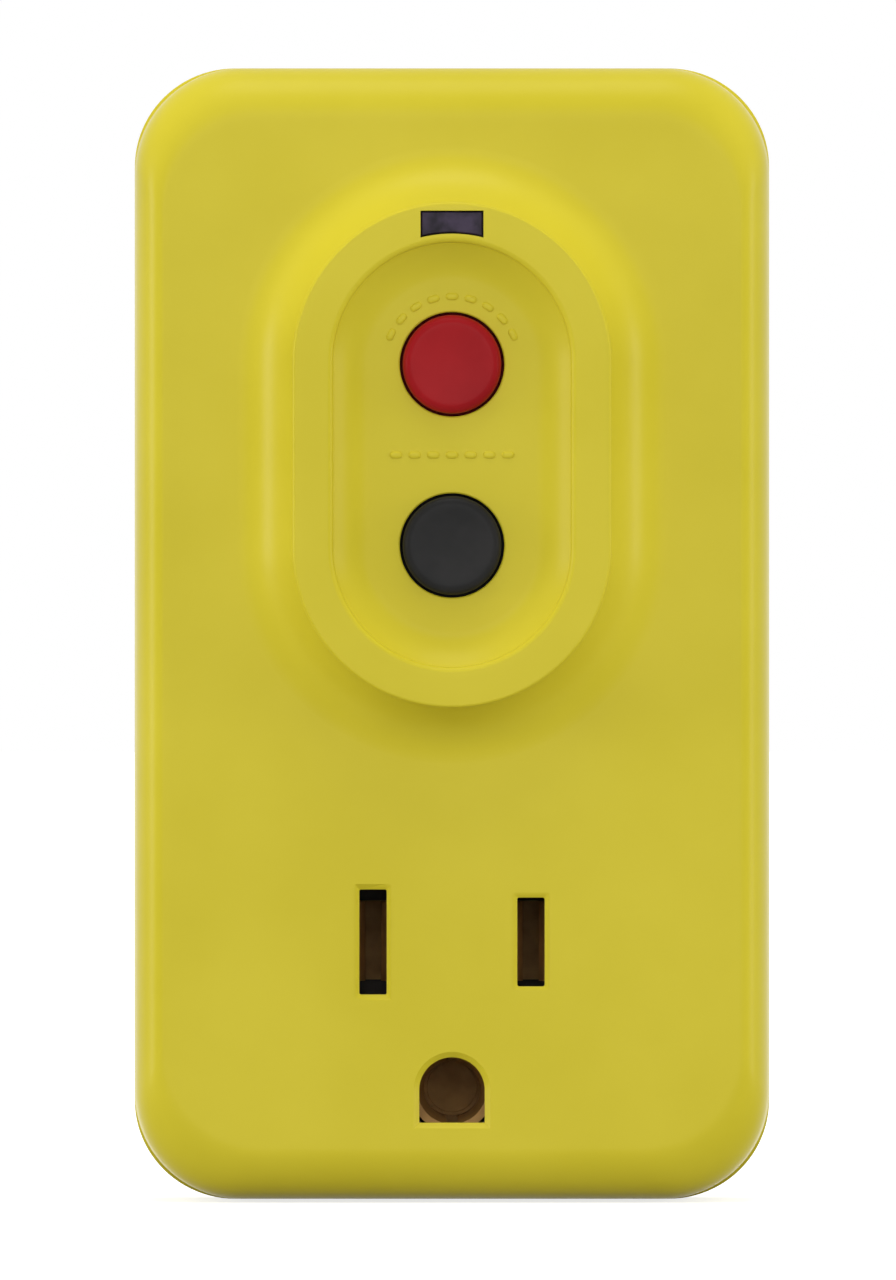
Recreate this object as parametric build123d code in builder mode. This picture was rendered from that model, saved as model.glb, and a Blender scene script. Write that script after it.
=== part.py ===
"""Plug-in residual-current adapter: a yellow housing that plugs into a wall outlet and offers one
grounded outlet at its front, with a test button and a reset button on a raised pad above it.

Millimetres. X is to the right as seen from the front, +Z is up, and the front faces -Y. The origin
is on the flat rear face, midway between the two plug blades. A "height" is always measured forwards
from that rear face, so height h lies at y = -h.
"""

from build123d import *

import math
import os

# Housing
body_width = 51.4
body_height = 91.6
body_depth = 33.0  # rear face to flat front face
blade_line_to_bottom = 21.0
corner_radius = 7.6
side_round = 2.3  # how far the front edge rolls in from either side
end_round = 4.2  # how far it rolls in from the top and the bottom
shoulder_depth = 4.2  # depth of that rolled edge
side_draft = 0.3  # moulding draft from the joint line to the rolled edge
wall = 2.2
rear_wall = 2.4
rear_depth = 9.0  # rear face to the joint line between the covers

# Grounded outlet and plug, to the common 15 A pattern
blade_pitch = 12.7
ground_drop = 11.9  # ground pin below the line of the blades
blade_thickness = 1.5
blade_width = 6.35
blade_length = 17.3
ground_pin_radius = 2.375
ground_pin_length = 20.5
slot_width = 2.25
neutral_slot_height = 8.45
hot_slot_height = 7.15
ground_slot_radius = 2.65

# Raised pad with the two buttons
pad_to_top = 11.15  # upper edge of the pad to the top of the housing
button_pitch = 14.55
button_radius = 3.83
button_gap = 0.37
pad_radius = 12.8
pad_straight = 15.0
pad_rise = 4.2
dish_radius = 9.53
dish_depth = 2.0

# Insulating block behind the outlet
block_half_width = 14.0
block_bottom_z = -17.0
block_top_z = 8.6
block_rear = 7.4

# Working parts
board_height = 10.0
board_thickness = 1.6
lifter_travel = 1.8
reset_travel = 2.2
test_travel = 1.5
plunger_travel = 1.2

# Clearances and overruns
seat_gap = 0.05
running_gap = 0.2
loose_gap = 0.3
overrun = 1.0

# Places that follow from the sizes above
body_mid_z = body_height / 2 - blade_line_to_bottom
body_top_z = body_height - blade_line_to_bottom
controls_z = body_top_z - pad_to_top - pad_radius - pad_straight / 2
front_inside = body_depth - wall
pad_top = body_depth + pad_rise
dish_floor = pad_top - dish_depth
dish_under = dish_floor - wall
board_front = board_height + board_thickness
test_z = controls_z + button_pitch / 2
reset_z = controls_z - button_pitch / 2
neutral_x = -blade_pitch / 2
hot_x = blade_pitch / 2

os.makedirs("parts", exist_ok=True)


def front_plane(height):
    """Sketch plane across the front, with local x = X and local y = Z."""
    return Plane.XZ.offset(height)


def side_plane(x):
    """Upright sketch plane facing the side, with local x = height and local y = Z."""
    return Plane(origin=(x, 0, 0), x_dir=(0, -1, 0), z_dir=(-1, 0, 0))


def plan_plane(z):
    """Level sketch plane, with local x = X and local y = height."""
    return Plane(origin=(0, 0, z), x_dir=(1, 0, 0), z_dir=(0, 0, -1))


def round_end(x, z, radius, end, edge, direction):
    """Outlines of a round bar's end, stepped round its rounded edge up to the height end."""
    outlines = []
    for step in range(round_steps + 1):
        turn = math.pi / 2 * step / round_steps
        with BuildSketch(front_plane(end - direction * edge * (1 - math.sin(turn)))) as outline:
            with Locations((x, z)):
                Circle(radius - edge * (1 - math.cos(turn)))
        outlines.append(outline.sketch)
    return outlines


dome_share = 0.8  # rounding of a domed tip, of its radius
round_steps = 3  # ruled steps round the edge of a round end


def save(part, name):
    """Labels a finished piece and writes it as one STEP file."""
    part.label = name
    export_step(part, f"parts/{name}.step")


# Outlines of the housing, which both covers share

outer_steps = 6  # steps of the ruled faces round the rolled edge, outside and inside
inner_steps = 2


def housing_outline(height, side_inset, end_inset):
    """The housing's rounded rectangle, drawn in from its sides and from its ends."""
    with BuildSketch(front_plane(height)) as outline:
        with Locations((0, body_mid_z)):
            RectangleRounded(
                body_width - 2 * side_inset, body_height - 2 * end_inset, corner_radius - side_inset
            )
    return outline.sketch


def shoulder_outlines(top, depth, inset, side_roll, end_roll, steps):
    """Outlines up a rolled edge, each a step round a quarter ellipse, from the wall to the face."""
    outlines = []
    for step in range(steps + 1):
        turn = math.pi / 2 * step / steps
        height = top - depth + depth * math.sin(turn)
        rolled = 1 - math.cos(turn)
        outlines.append(
            housing_outline(height, inset + side_roll * rolled, inset + end_roll * rolled)
        )
    return outlines


def slot_outline(height, z, straight, radius):
    """An upright slot shape with round ends, centred on the row of buttons."""
    with BuildSketch(front_plane(height)) as outline:
        with Locations((0, z)):
            SlotCenterToCenter(straight, 2 * radius, rotation=90)
    return outline.sketch


# Places of the fasteners, which both covers share

post_radius = 3.1
post_side_inset = 6.0  # centre of a screw post in from the side of the housing
post_end_inset = 6.8
cover_post_places = [
    (side * (body_width / 2 - post_side_inset), body_mid_z + end * (body_height / 2 - post_end_inset))
    for side in (-1, 1)
    for end in (-1, 1)
]
screw_shank_radius = 1.3
screw_head_radius = 2.6
screw_head_height = 1.8
screw_length = 14.0
screw_head_sink = 0.8  # head below the rear face
screw_seat = screw_head_sink + screw_head_height
post_foot = rear_depth - overrun  # where the front posts stand on the rear bosses
lap_height = 1.8
lap_thickness = 1.0

# Front cover: the yellow shell with the pad, the dish, the window and the outlet slots

pad_skirt_width = 4.8
pad_skirt_turn = 65.0  # degrees from the face to the steep top of the skirt
pad_skirt_steps = 6
pad_edge_break = 0.25
dish_edge_break = 0.25
dish_slope = 1.0  # inset of the slope between the rim and the rounded foot
dish_foot_round = 0.8
slot_bevel = 0.25
window_width = 5.06
window_top_inset = 0.7  # upper edge of the window in from the pad's edge
window_rim = 0.72  # strip left between the window and the dish
pilot_depth = 9.0
rib_thickness = 1.2
rib_height = 2.4
guide_rise = 1.2  # collar round each button hole, on the inside
guide_wall = 1.2
shoulder_share = (shoulder_depth - wall) / shoulder_depth
window_top_z = controls_z + pad_straight / 2 + pad_radius - window_top_inset
skirt_turns = [
    math.radians(pad_skirt_turn) * step / pad_skirt_steps for step in range(pad_skirt_steps + 1)
]
pad_skirt = [
    (
        (pad_rise - pad_edge_break) * (1 - math.cos(turn)) / (1 - math.cos(skirt_turns[-1])),
        pad_skirt_width * (1 - math.sin(turn) / math.sin(skirt_turns[-1])),
    )
    for turn in skirt_turns
] + [(pad_rise, -pad_edge_break)]
dish_profile = [
    (0, -dish_edge_break),
    (dish_edge_break, 0),
    (dish_depth - dish_foot_round, dish_slope - dish_foot_round / 2),
    (dish_depth - dish_foot_round / 3, dish_slope),
    (dish_depth, dish_slope + dish_foot_round),
]

skirt_bottom_z = controls_z - pad_straight / 2 - pad_radius - pad_skirt_width
cover_meeting_z = (neutral_slot_height / 2 + skirt_bottom_z) / 2

with BuildPart() as front_cover:
    wall_top = body_depth - shoulder_depth
    loft(
        [housing_outline(rear_depth, 0, 0), housing_outline(wall_top, side_draft, side_draft)],
        ruled=True,
    )
    loft(
        shoulder_outlines(
            body_depth, shoulder_depth, side_draft, side_round, end_round, outer_steps
        ),
        ruled=True,
    )
    # raised pad, whose skirt flares out in a hollow curve
    loft(
        [
            slot_outline(body_depth + rise, controls_z, pad_straight, pad_radius + spread)
            for rise, spread in pad_skirt
        ],
        ruled=True,
    )
    # inside, open at the joint line
    loft(
        [
            housing_outline(rear_depth - overrun, wall, wall),
            housing_outline(wall_top, side_draft + wall, side_draft + wall),
        ],
        ruled=True,
        mode=Mode.SUBTRACT,
    )
    loft(
        shoulder_outlines(
            front_inside,
            shoulder_depth - wall,
            side_draft + wall,
            side_round * shoulder_share,
            end_round * shoulder_share,
            inner_steps,
        ),
        ruled=True,
        mode=Mode.SUBTRACT,
    )
    with BuildSketch(front_plane(front_inside)):
        with Locations((0, controls_z)):
            SlotCenterToCenter(pad_straight, 2 * (pad_radius - wall), rotation=90)
    extrude(amount=dish_under - front_inside, mode=Mode.SUBTRACT)
    # rebate that the rear cover's tongue enters
    with BuildSketch(front_plane(rear_depth)):
        with Locations((0, body_mid_z)):
            rebate = wall - lap_thickness
            RectangleRounded(body_width - 2 * rebate, body_height - 2 * rebate, corner_radius - rebate)
    extrude(amount=lap_height, mode=Mode.SUBTRACT)
    # screw posts, ribbed to the side walls
    with BuildSketch(front_plane(post_foot)):
        with Locations(*cover_post_places):
            Circle(post_radius)
    extrude(amount=front_inside - post_foot + overrun)
    with BuildSketch(front_plane(rear_depth + lap_height + loose_gap)):
        for x, z in cover_post_places:
            rib_length = post_side_inset - lap_thickness
            with Locations((x + math.copysign(rib_length / 2, x), z)):
                Rectangle(rib_length, rib_thickness)
    extrude(amount=wall_top - rear_depth - lap_height - 2 * loose_gap)
    with Locations(front_plane(post_foot)):
        with Locations(*cover_post_places):
            Cylinder(
                screw_shank_radius + seat_gap,
                pilot_depth,
                align=(Align.CENTER, Align.CENTER, Align.MIN),
                mode=Mode.SUBTRACT,
            )
    # sloping dish round the buttons
    loft(
        [
            slot_outline(pad_top - drop, controls_z, pad_straight, dish_radius - inset)
            for drop, inset in dish_profile
        ],
        ruled=True,
        mode=Mode.SUBTRACT,
    )
    # button holes with a guide collar behind each
    with BuildSketch(front_plane(dish_under - guide_rise)):
        with Locations((0, test_z), (0, reset_z)):
            Circle(button_radius + button_gap + guide_wall)
    extrude(amount=guide_rise)
    with BuildSketch(front_plane(dish_under - guide_rise)):
        with Locations((0, test_z), (0, reset_z)):
            Circle(button_radius + button_gap)
    extrude(amount=pad_rise + wall + guide_rise, mode=Mode.SUBTRACT)
    # window in the upper arc of the pad's rim
    with BuildSketch(front_plane(front_inside)):
        with Locations((0, window_top_z)):
            Rectangle(window_width, dish_radius, align=(Align.CENTER, Align.MAX))
        with Locations((0, controls_z)):
            SlotCenterToCenter(
                pad_straight, 2 * (dish_radius + window_rim), rotation=90, mode=Mode.SUBTRACT
            )
    extrude(amount=pad_top - front_inside, mode=Mode.SUBTRACT)
    # outlet slots, bevelled at the face
    with BuildSketch(front_plane(front_inside)):
        with Locations((neutral_x, 0)):
            Rectangle(slot_width, neutral_slot_height)
        with Locations((hot_x, 0)):
            Rectangle(slot_width, hot_slot_height)
        with Locations((0, -ground_drop)):
            Circle(ground_slot_radius)
            Rectangle(
                2 * ground_slot_radius, ground_slot_radius, align=(Align.CENTER, Align.MAX)
            )
    extrude(amount=wall, mode=Mode.SUBTRACT)
    slots_bottom_z = -ground_drop - ground_slot_radius - slot_bevel
    slot_edges = (
        front_cover.edges()
        .filter_by_position(Axis.Y, -body_depth - seat_gap, -body_depth + seat_gap)
        .filter_by_position(Axis.X, -blade_pitch, blade_pitch)
        .filter_by_position(Axis.Z, slots_bottom_z, neutral_slot_height)
    )
    chamfer(slot_edges, slot_bevel)
    # one moulding, drawn as two solids that meet in a plane between the outlet and the pad's skirt
    split(bisect_by=Plane.XY.offset(cover_meeting_z), keep=Keep.BOTH)
save(front_cover.part, "front_cover")

# Rear cover: the shallow shell that faces the wall, with the plug's openings and the board's posts

rear_edge_break = 1.0
tongue_gap = 0.1
blade_slot_gap = 0.1
boss_radius = 4.2
head_room = 0.2
standoff_radius = 2.4
standoff_side_inset = 4.4  # in from the board's side
board_side_gap = 2.0  # board to the side wall
board_block_gap = 1.7  # board above the outlet block
board_post_gap = 0.6
standoff_end_inset = 3.4
board_half_width = body_width / 2 - wall - board_side_gap
board_bottom_z = block_top_z + board_block_gap
board_top_z = body_top_z - post_end_inset - post_radius - board_post_gap
standoff_places = [
    (side * (board_half_width - standoff_side_inset), z)
    for side in (-1, 1)
    for z in (board_bottom_z + standoff_end_inset, board_top_z - standoff_end_inset)
]
screwed_standoffs = [standoff_places[0], standoff_places[-1]]
board_screw_radius = 1.1
board_screw_length = 5.0
cradle_height = 2.0
cradle_wall = 1.4
root_width = 10.0  # the blade's wide root inside the cover

with BuildPart() as rear_cover:
    with BuildSketch(front_plane(0)):
        with Locations((0, body_mid_z)):
            RectangleRounded(body_width, body_height, corner_radius)
    extrude(amount=rear_depth)
    chamfer(rear_cover.faces().sort_by(Axis.Y)[-1].edges(), rear_edge_break)
    with BuildSketch(front_plane(rear_wall)):
        with Locations((0, body_mid_z)):
            RectangleRounded(body_width - 2 * wall, body_height - 2 * wall, corner_radius - wall)
    extrude(amount=rear_depth - rear_wall, mode=Mode.SUBTRACT)
    # tongue round the joint
    with BuildSketch(front_plane(rear_depth - overrun)):
        with Locations((0, body_mid_z)):
            tongue_out = wall - lap_thickness + tongue_gap
            RectangleRounded(
                body_width - 2 * tongue_out, body_height - 2 * tongue_out, corner_radius - tongue_out
            )
            RectangleRounded(
                body_width - 2 * wall,
                body_height - 2 * wall,
                corner_radius - wall,
                mode=Mode.SUBTRACT,
            )
    extrude(amount=overrun + lap_height - running_gap)
    # bosses for the cover screws
    with BuildSketch(front_plane(rear_wall - seat_gap)):
        with Locations(*cover_post_places):
            Circle(boss_radius)
    extrude(amount=post_foot - rear_wall + seat_gap)
    with BuildSketch(front_plane(0)):
        with Locations(*cover_post_places):
            Circle(screw_head_radius + head_room)
    extrude(amount=screw_seat, mode=Mode.SUBTRACT)
    with BuildSketch(front_plane(screw_seat)):
        with Locations(*cover_post_places):
            Circle(screw_shank_radius + running_gap)
    extrude(amount=post_foot - screw_seat, mode=Mode.SUBTRACT)
    # standoffs for the board
    with BuildSketch(front_plane(rear_wall)):
        with Locations(*standoff_places):
            Circle(standoff_radius)
        with Locations(*screwed_standoffs):
            Circle(board_screw_radius + seat_gap, mode=Mode.SUBTRACT)
    extrude(amount=board_height - rear_wall)
    # cradles that hold the roots of the blades
    with BuildSketch(front_plane(rear_wall)):
        with Locations((neutral_x, 0), (hot_x, 0)):
            Rectangle(blade_thickness + 2 * cradle_wall, root_width + 2 * cradle_wall)
            Rectangle(
                blade_thickness + 2 * blade_slot_gap, root_width + 2 * blade_slot_gap, mode=Mode.SUBTRACT
            )
    extrude(amount=cradle_height)
    # openings for the blades and the ground pin
    with BuildSketch(front_plane(0)):
        with Locations((neutral_x, 0), (hot_x, 0)):
            Rectangle(blade_thickness + 2 * blade_slot_gap, blade_width + 2 * blade_slot_gap)
        with Locations((0, -ground_drop)):
            Circle(ground_pin_radius + blade_slot_gap)
    extrude(amount=rear_wall, mode=Mode.SUBTRACT)
save(rear_cover.part, "rear_cover")

# Screws that join the covers from behind, with a cross recess in each head

cross_length = 3.0
cross_width = 0.7
cross_depth = 1.0
screw_foot = screw_head_sink
with BuildPart() as cover_screws:
    with BuildSketch(front_plane(screw_foot)):
        with Locations(*cover_post_places):
            Circle(screw_head_radius)
    extrude(amount=screw_head_height)
    with BuildSketch(front_plane(screw_seat)):
        with Locations(*cover_post_places):
            Circle(screw_shank_radius)
    extrude(amount=screw_length)
    with BuildSketch(front_plane(screw_foot)):
        with Locations(*cover_post_places):
            Rectangle(cross_length, cross_width)
            Rectangle(cross_width, cross_length)
    extrude(amount=cross_depth, mode=Mode.SUBTRACT)
save(cover_screws.part, "cover_screws")

# Buttons: a round cap that stands in its hole, a flange that keeps it in, and a stem to its works

button_proud = 1.0  # above the floor of the dish
button_edge_round = 0.55
flange_radius = 5.0
flange_thickness = 1.3
collar_radius = 2.3
collar_length = 1.6
flange_top = dish_under - guide_rise - running_gap
flange_foot = flange_top - flange_thickness


def button(z, stem_radius, stem_tip):
    """A button on its row at z, whose stem reaches back to the height stem_tip."""
    with BuildPart() as piece:
        with BuildSketch(front_plane(flange_foot)):
            with Locations((0, z)):
                Circle(flange_radius)
        extrude(amount=flange_thickness)
        with BuildSketch(front_plane(flange_top)):
            with Locations((0, z)):
                Circle(button_radius)
        extrude(amount=dish_floor + button_proud - button_edge_round - flange_top)
        loft(
            round_end(0, z, button_radius, dish_floor + button_proud, button_edge_round, 1),
            ruled=True,
        )
        with BuildSketch(front_plane(flange_foot - collar_length)):
            with Locations((0, z)):
                Circle(collar_radius)
        extrude(amount=collar_length)
        with BuildSketch(front_plane(stem_tip)):
            with Locations((0, z)):
                Circle(stem_radius)
        extrude(amount=flange_foot - stem_tip)
        chamfer(piece.faces().sort_by(Axis.Y)[-1].edges(), stem_radius / 2)
    return piece.part


# Heights of the contact works, from the board forwards

lifter_lift_gap = 1.6  # board to the resting lifter
lifter_depth = 5.8
wing_depth = 2.0
arm_thickness = 0.6
rivet_height = 0.8
fixed_rivet_height = 0.6
contact_gap = 2.5
strap_thickness = 0.8
frame_plate = 1.6
stem_radius = 1.5
reset_stem_entry = 1.0  # how far the resting reset stem stands in the lifter
strap_cover_gap = 0.1
leaf_rise = 4.4  # board to the test leaf
lifter_foot = board_front + lifter_lift_gap
lifter_top = lifter_foot + lifter_depth
arm_rear = lifter_top + running_gap
arm_front = arm_rear + arm_thickness
fixed_face = arm_front + rivet_height + contact_gap
strap_rear = fixed_face + fixed_rivet_height
strap_front = strap_rear + strap_thickness
frame_rear = strap_front + strap_cover_gap
frame_front = frame_rear + frame_plate
test_leaf_height = board_front + leaf_rise
test_leaf_thickness = 0.4
test_tip = test_leaf_height + test_leaf_thickness + running_gap
reset_tip = lifter_top - reset_stem_entry

save(button(test_z, stem_radius, test_tip), "test_button")
save(button(reset_z, stem_radius, reset_tip), "reset_button")

# Coil springs: each is one unbroken wire on a helix about its own axis


def coil_spring(start, direction, length, radius, wire_radius, turns):
    """A compression spring from the point start along direction, length long over its wire."""
    rise = length - 2 * wire_radius
    axis_plane = Plane(origin=start, z_dir=direction)
    steps = turns * runs_per_turn
    points = []
    for step in range(steps + 1):
        turn = 2 * math.pi * turns * step / steps
        level = wire_radius + rise * step / steps
        points.append(
            axis_plane.from_local_coords((radius * math.cos(turn), radius * math.sin(turn), level))
        )
    with BuildPart() as spring:
        with BuildLine() as coil:
            Polyline(*points)
        path = coil.line
        with BuildSketch(Plane(origin=path @ 0, z_dir=path % 0)):
            RegularPolygon(wire_radius, wire_sides)
        sweep(path=path, transition=Transition.RIGHT)
    print("coil gap", round(rise / turns - 2 * wire_radius, 2), "mm")
    return spring.part


runs_per_turn = 16
wire_sides = 6
forwards = (0, -1, 0)
upwards = (0, 0, 1)
button_spring_radius = 3.4
button_spring_wire = 0.28
button_spring_turns = 3
for spring_name, spring_z in (("test_spring", test_z), ("reset_spring", reset_z)):
    button_spring = coil_spring(
        (0, -(frame_front + seat_gap), spring_z),
        forwards,
        flange_foot - frame_front - 2 * seat_gap,
        button_spring_radius,
        button_spring_wire,
        button_spring_turns,
    )
    save(button_spring, spring_name)

# Smoked window over the lamp, held from behind by its flange, and the lamp on its spacer

window_gap = 0.08
window_sink = 0.2  # window below the top of the pad
window_flange = 0.8  # wider than the window all round
window_flange_thickness = 1.2
lamp_drop = 1.0  # below the upper edge of the window
lamp_z = window_top_z - lamp_drop
lamp_radius = 1.5
lamp_rim = 0.35
lamp_rim_height = 1.0
lamp_body_height = 3.4
lamp_stand_off = 1.0  # tip of the lamp behind the window
spacer_wall = 0.8

with BuildPart() as indicator_lens:
    with BuildSketch(front_plane(front_inside - seat_gap)):
        with Locations((0, window_top_z - window_gap)):
            Rectangle(window_width - 2 * window_gap, dish_radius, align=(Align.CENTER, Align.MAX))
        with Locations((0, controls_z)):
            SlotCenterToCenter(
                pad_straight,
                2 * (dish_radius + window_rim + window_gap),
                rotation=90,
                mode=Mode.SUBTRACT,
            )
    extrude(amount=pad_top - window_sink - front_inside + seat_gap)
    lens_size = indicator_lens.part.bounding_box()
    with BuildSketch(front_plane(front_inside - seat_gap - window_flange_thickness)):
        with Locations((0, lens_size.center().Z)):
            Rectangle(
                window_width + 2 * window_flange, lens_size.size.Z + 2 * window_flange
            )
    extrude(amount=window_flange_thickness)
lens_rear = front_inside - seat_gap - window_flange_thickness
lamp_tip = lens_rear - lamp_stand_off
lamp_seat = lamp_tip - lamp_radius - lamp_body_height
save(indicator_lens.part, "indicator_lens")

with BuildPart() as indicator_led:
    with BuildSketch(front_plane(lamp_seat)):
        with Locations((0, lamp_z)):
            Circle(lamp_radius + lamp_rim)
    extrude(amount=lamp_rim_height)
    with BuildSketch(front_plane(lamp_seat)):
        with Locations((0, lamp_z)):
            Circle(lamp_radius)
    extrude(amount=lamp_body_height + lamp_radius * (1 - dome_share))
    lamp_end = lamp_seat + lamp_body_height + lamp_radius
    loft(
        round_end(0, lamp_z, lamp_radius, lamp_end, lamp_radius * dome_share, 1),
        ruled=True,
    )
save(indicator_led.part, "indicator_led")

with BuildPart() as led_spacer:
    with BuildSketch(front_plane(board_front + seat_gap)):
        with Locations((0, lamp_z)):
            Circle(lamp_radius + spacer_wall)
            Circle(lamp_radius - lamp_rim, mode=Mode.SUBTRACT)
    extrude(amount=lamp_seat - board_front - 2 * seat_gap)
save(led_spacer.part, "led_spacer")

# Circuit board, with a tab between the upper posts, and its two screws

tab_half_width = 15.5
tab_rise = 5.9  # above the rest of the board
tab_top_z = board_top_z + tab_rise
core_x = -10.4
core_drop = 8.0  # middle of the cores below the top of the tab
core_z = tab_top_z - core_drop
lead_spread = 1.3  # each supply lead from the middle of the cores
lead_radius = 1.0
lead_places = [(core_x + side * lead_spread, core_z) for side in (-1, 1)]
board_screw_head_radius = 2.0
board_screw_head_height = 1.2

with BuildPart() as circuit_board:
    with BuildSketch(front_plane(board_height)):
        with Locations((0, board_bottom_z)):
            Rectangle(
                2 * board_half_width,
                board_top_z - board_bottom_z,
                align=(Align.CENTER, Align.MIN),
            )
            Rectangle(
                2 * tab_half_width, tab_top_z - board_bottom_z, align=(Align.CENTER, Align.MIN)
            )
        with Locations(*screwed_standoffs):
            Circle(board_screw_radius + seat_gap, mode=Mode.SUBTRACT)
        with Locations(*lead_places):
            Circle(lead_radius + seat_gap, mode=Mode.SUBTRACT)
    extrude(amount=board_thickness)
save(circuit_board.part, "circuit_board")

with BuildPart() as board_screws:
    with BuildSketch(front_plane(board_front + board_screw_head_height)):
        with Locations(*screwed_standoffs):
            Circle(board_screw_radius)
    extrude(amount=-board_screw_head_height - board_screw_length)
    with BuildSketch(front_plane(board_front)):
        with Locations(*screwed_standoffs):
            Circle(board_screw_head_radius)
    extrude(amount=board_screw_head_height)
save(board_screws.part, "board_screws")

# Upright places of the mechanism, all taken from the two buttons

lifter_below = 4.9  # from the reset button's axis
lifter_above = 9.1
frame_overhang = 2.2  # frame below the lifter
frame_above_test = 4.1
lifter_bottom_z = reset_z - lifter_below
lifter_top_z = reset_z + lifter_above
frame_bottom_z = lifter_bottom_z - frame_overhang
frame_top_z = test_z + frame_above_test

# Contact arms: sprung strips that the lifter bends forwards about their roots on the posts

arm_x = 12.5
arm_width = 5.0
arm_lever = 14.1  # root of an arm above the lifter's wing
contact_drop = 3.4  # contacts below the lifter's wing
arm_overhang = 2.9  # tip of an arm below its contact
arm_tip_cut = 1.2
arm_root_z = reset_z + arm_lever
arm_contact_z = reset_z - contact_drop
arm_tip_z = arm_contact_z - arm_overhang
post_flange_length = 1.7
post_thickness = 0.8
post_foot_length = 4.0
post_tab_height = 4.0  # above the strip, where the supply lead ends
rivet_radius = 1.6
rivet_shank_radius = 0.9
root_gap = 0.05
post_rear_z = arm_root_z + root_gap + post_flange_length + post_thickness

with BuildPart() as arm_posts:
    for side in (-1, 1):
        with BuildSketch(side_plane(side * arm_x)):
            with BuildLine():
                Polyline(
                    (board_front + seat_gap, post_rear_z),
                    (arm_front + post_tab_height, post_rear_z),
                    (arm_front + post_tab_height, post_rear_z - post_thickness),
                    (arm_front, post_rear_z - post_thickness),
                    (arm_front, arm_root_z + root_gap),
                    (arm_rear, arm_root_z + root_gap),
                    (arm_rear, post_rear_z - post_thickness),
                    (board_front + seat_gap + post_thickness, post_rear_z - post_thickness),
                    (board_front + seat_gap + post_thickness, post_rear_z - post_foot_length),
                    (board_front + seat_gap, post_rear_z - post_foot_length),
                    close=True,
                )
            make_face()
        extrude(amount=arm_width / 2, both=True)
save(arm_posts.part, "arm_posts")


def contact_arm(side):
    """The sprung strip on one side, holed for its contact rivet."""
    with BuildPart() as arm:
        with BuildSketch(front_plane(arm_rear)):
            with Locations((side * arm_x, arm_tip_z)):
                Rectangle(arm_width, arm_root_z - arm_tip_z, align=(Align.CENTER, Align.MIN))
            with Locations((side * arm_x, arm_contact_z)):
                Circle(rivet_shank_radius + seat_gap, mode=Mode.SUBTRACT)
        extrude(amount=arm_thickness)
        tip_corners = arm.edges().filter_by(Axis.Y).group_by(Axis.Z)[0]
        chamfer(tip_corners, arm_tip_cut)
    return arm.part


def moving_rivet(side):
    """The contact rivet of one arm, whose head faces the fixed contact."""
    with BuildPart() as rivet:
        with BuildSketch(front_plane(arm_rear)):
            with Locations((side * arm_x, arm_contact_z)):
                Circle(rivet_shank_radius)
        extrude(amount=arm_thickness)
        with BuildSketch(front_plane(arm_front)):
            with Locations((side * arm_x, arm_contact_z)):
                Circle(rivet_radius)
        extrude(amount=rivet_height)
    return rivet.part


save(contact_arm(-1), "neutral_arm")
save(contact_arm(1), "hot_arm")
save(moving_rivet(-1), "neutral_rivet")
save(moving_rivet(1), "hot_rivet")

# Outlet contacts: each a folded clip behind its slot, with a strap up to the fixed contact

clip_floor = 11.0
clip_thickness = 0.7
clip_leaf_height = 6.4
clip_waist = 14.0
clip_front_room = 2.8  # mouth of the clip to the inside of the front cover
clip_mouth = front_inside - clip_front_room
clip_mouth_flare = 4.0  # length of the flare from the pinch to the mouth
clip_pinch = clip_mouth - clip_mouth_flare
clip_half_inside = 1.5
pinch_share = 0.43  # half-gap at the pinch, of the blade's thickness
pinch_half_gap = blade_thickness * pinch_share
strap_low = 12.2
riser_height = 4.0
flange_above_contact = 3.0
frame_above_riser = 0.2
contact_flange_top_z = arm_contact_z + flange_above_contact
riser_top_z = frame_bottom_z - frame_above_riser
riser_bottom_z = riser_top_z - riser_height
contact_flange_inside = 10.0
contact_flange_outside = 15.2


def outlet_contact(side):
    """The folded clip, strap and contact plate of one pole, to the left or to the right."""
    slot_x = side * blade_pitch / 2
    strap_x = slot_x + side * clip_half_inside
    with BuildPart() as contact:
        with BuildSketch(plan_plane(-clip_leaf_height / 2)):
            for leaf in (-1, 1):
                with BuildLine():
                    Polyline(
                        (slot_x, clip_floor),
                        (slot_x + leaf * (clip_half_inside + clip_thickness), clip_floor),
                        (slot_x + leaf * (clip_half_inside + clip_thickness), clip_waist),
                        (slot_x + leaf * (pinch_half_gap + clip_thickness), clip_pinch),
                        (slot_x + leaf * (clip_half_inside + clip_thickness), clip_mouth),
                        (slot_x + leaf * clip_half_inside, clip_mouth),
                        (slot_x + leaf * pinch_half_gap, clip_pinch),
                        (slot_x + leaf * clip_half_inside, clip_waist),
                        (slot_x + leaf * clip_half_inside, clip_floor + clip_thickness),
                        (slot_x, clip_floor + clip_thickness),
                        close=True,
                    )
                make_face()
        extrude(amount=-clip_leaf_height)
        with BuildSketch(side_plane(strap_x)):
            with BuildLine():
                Polyline(
                    (strap_low, 0),
                    (clip_waist, 0),
                    (clip_waist, riser_bottom_z),
                    (strap_front, riser_bottom_z),
                    (strap_front, riser_top_z),
                    (strap_low, riser_top_z),
                    close=True,
                )
            make_face()
        extrude(amount=-side * clip_thickness)
        with BuildSketch(front_plane(strap_rear)):
            with Locations((strap_x, riser_bottom_z)):
                Rectangle(
                    contact_flange_outside - abs(strap_x),
                    riser_top_z - riser_bottom_z,
                    align=(Align.MIN if side > 0 else Align.MAX, Align.MIN),
                )
            with Locations((side * contact_flange_outside, riser_bottom_z)):
                Rectangle(
                    contact_flange_outside - contact_flange_inside,
                    contact_flange_top_z - riser_bottom_z,
                    align=(Align.MAX if side > 0 else Align.MIN, Align.MIN),
                )
            with Locations((side * arm_x, arm_contact_z)):
                Circle(rivet_shank_radius + seat_gap, mode=Mode.SUBTRACT)
        extrude(amount=strap_thickness)
    return contact.part


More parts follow.
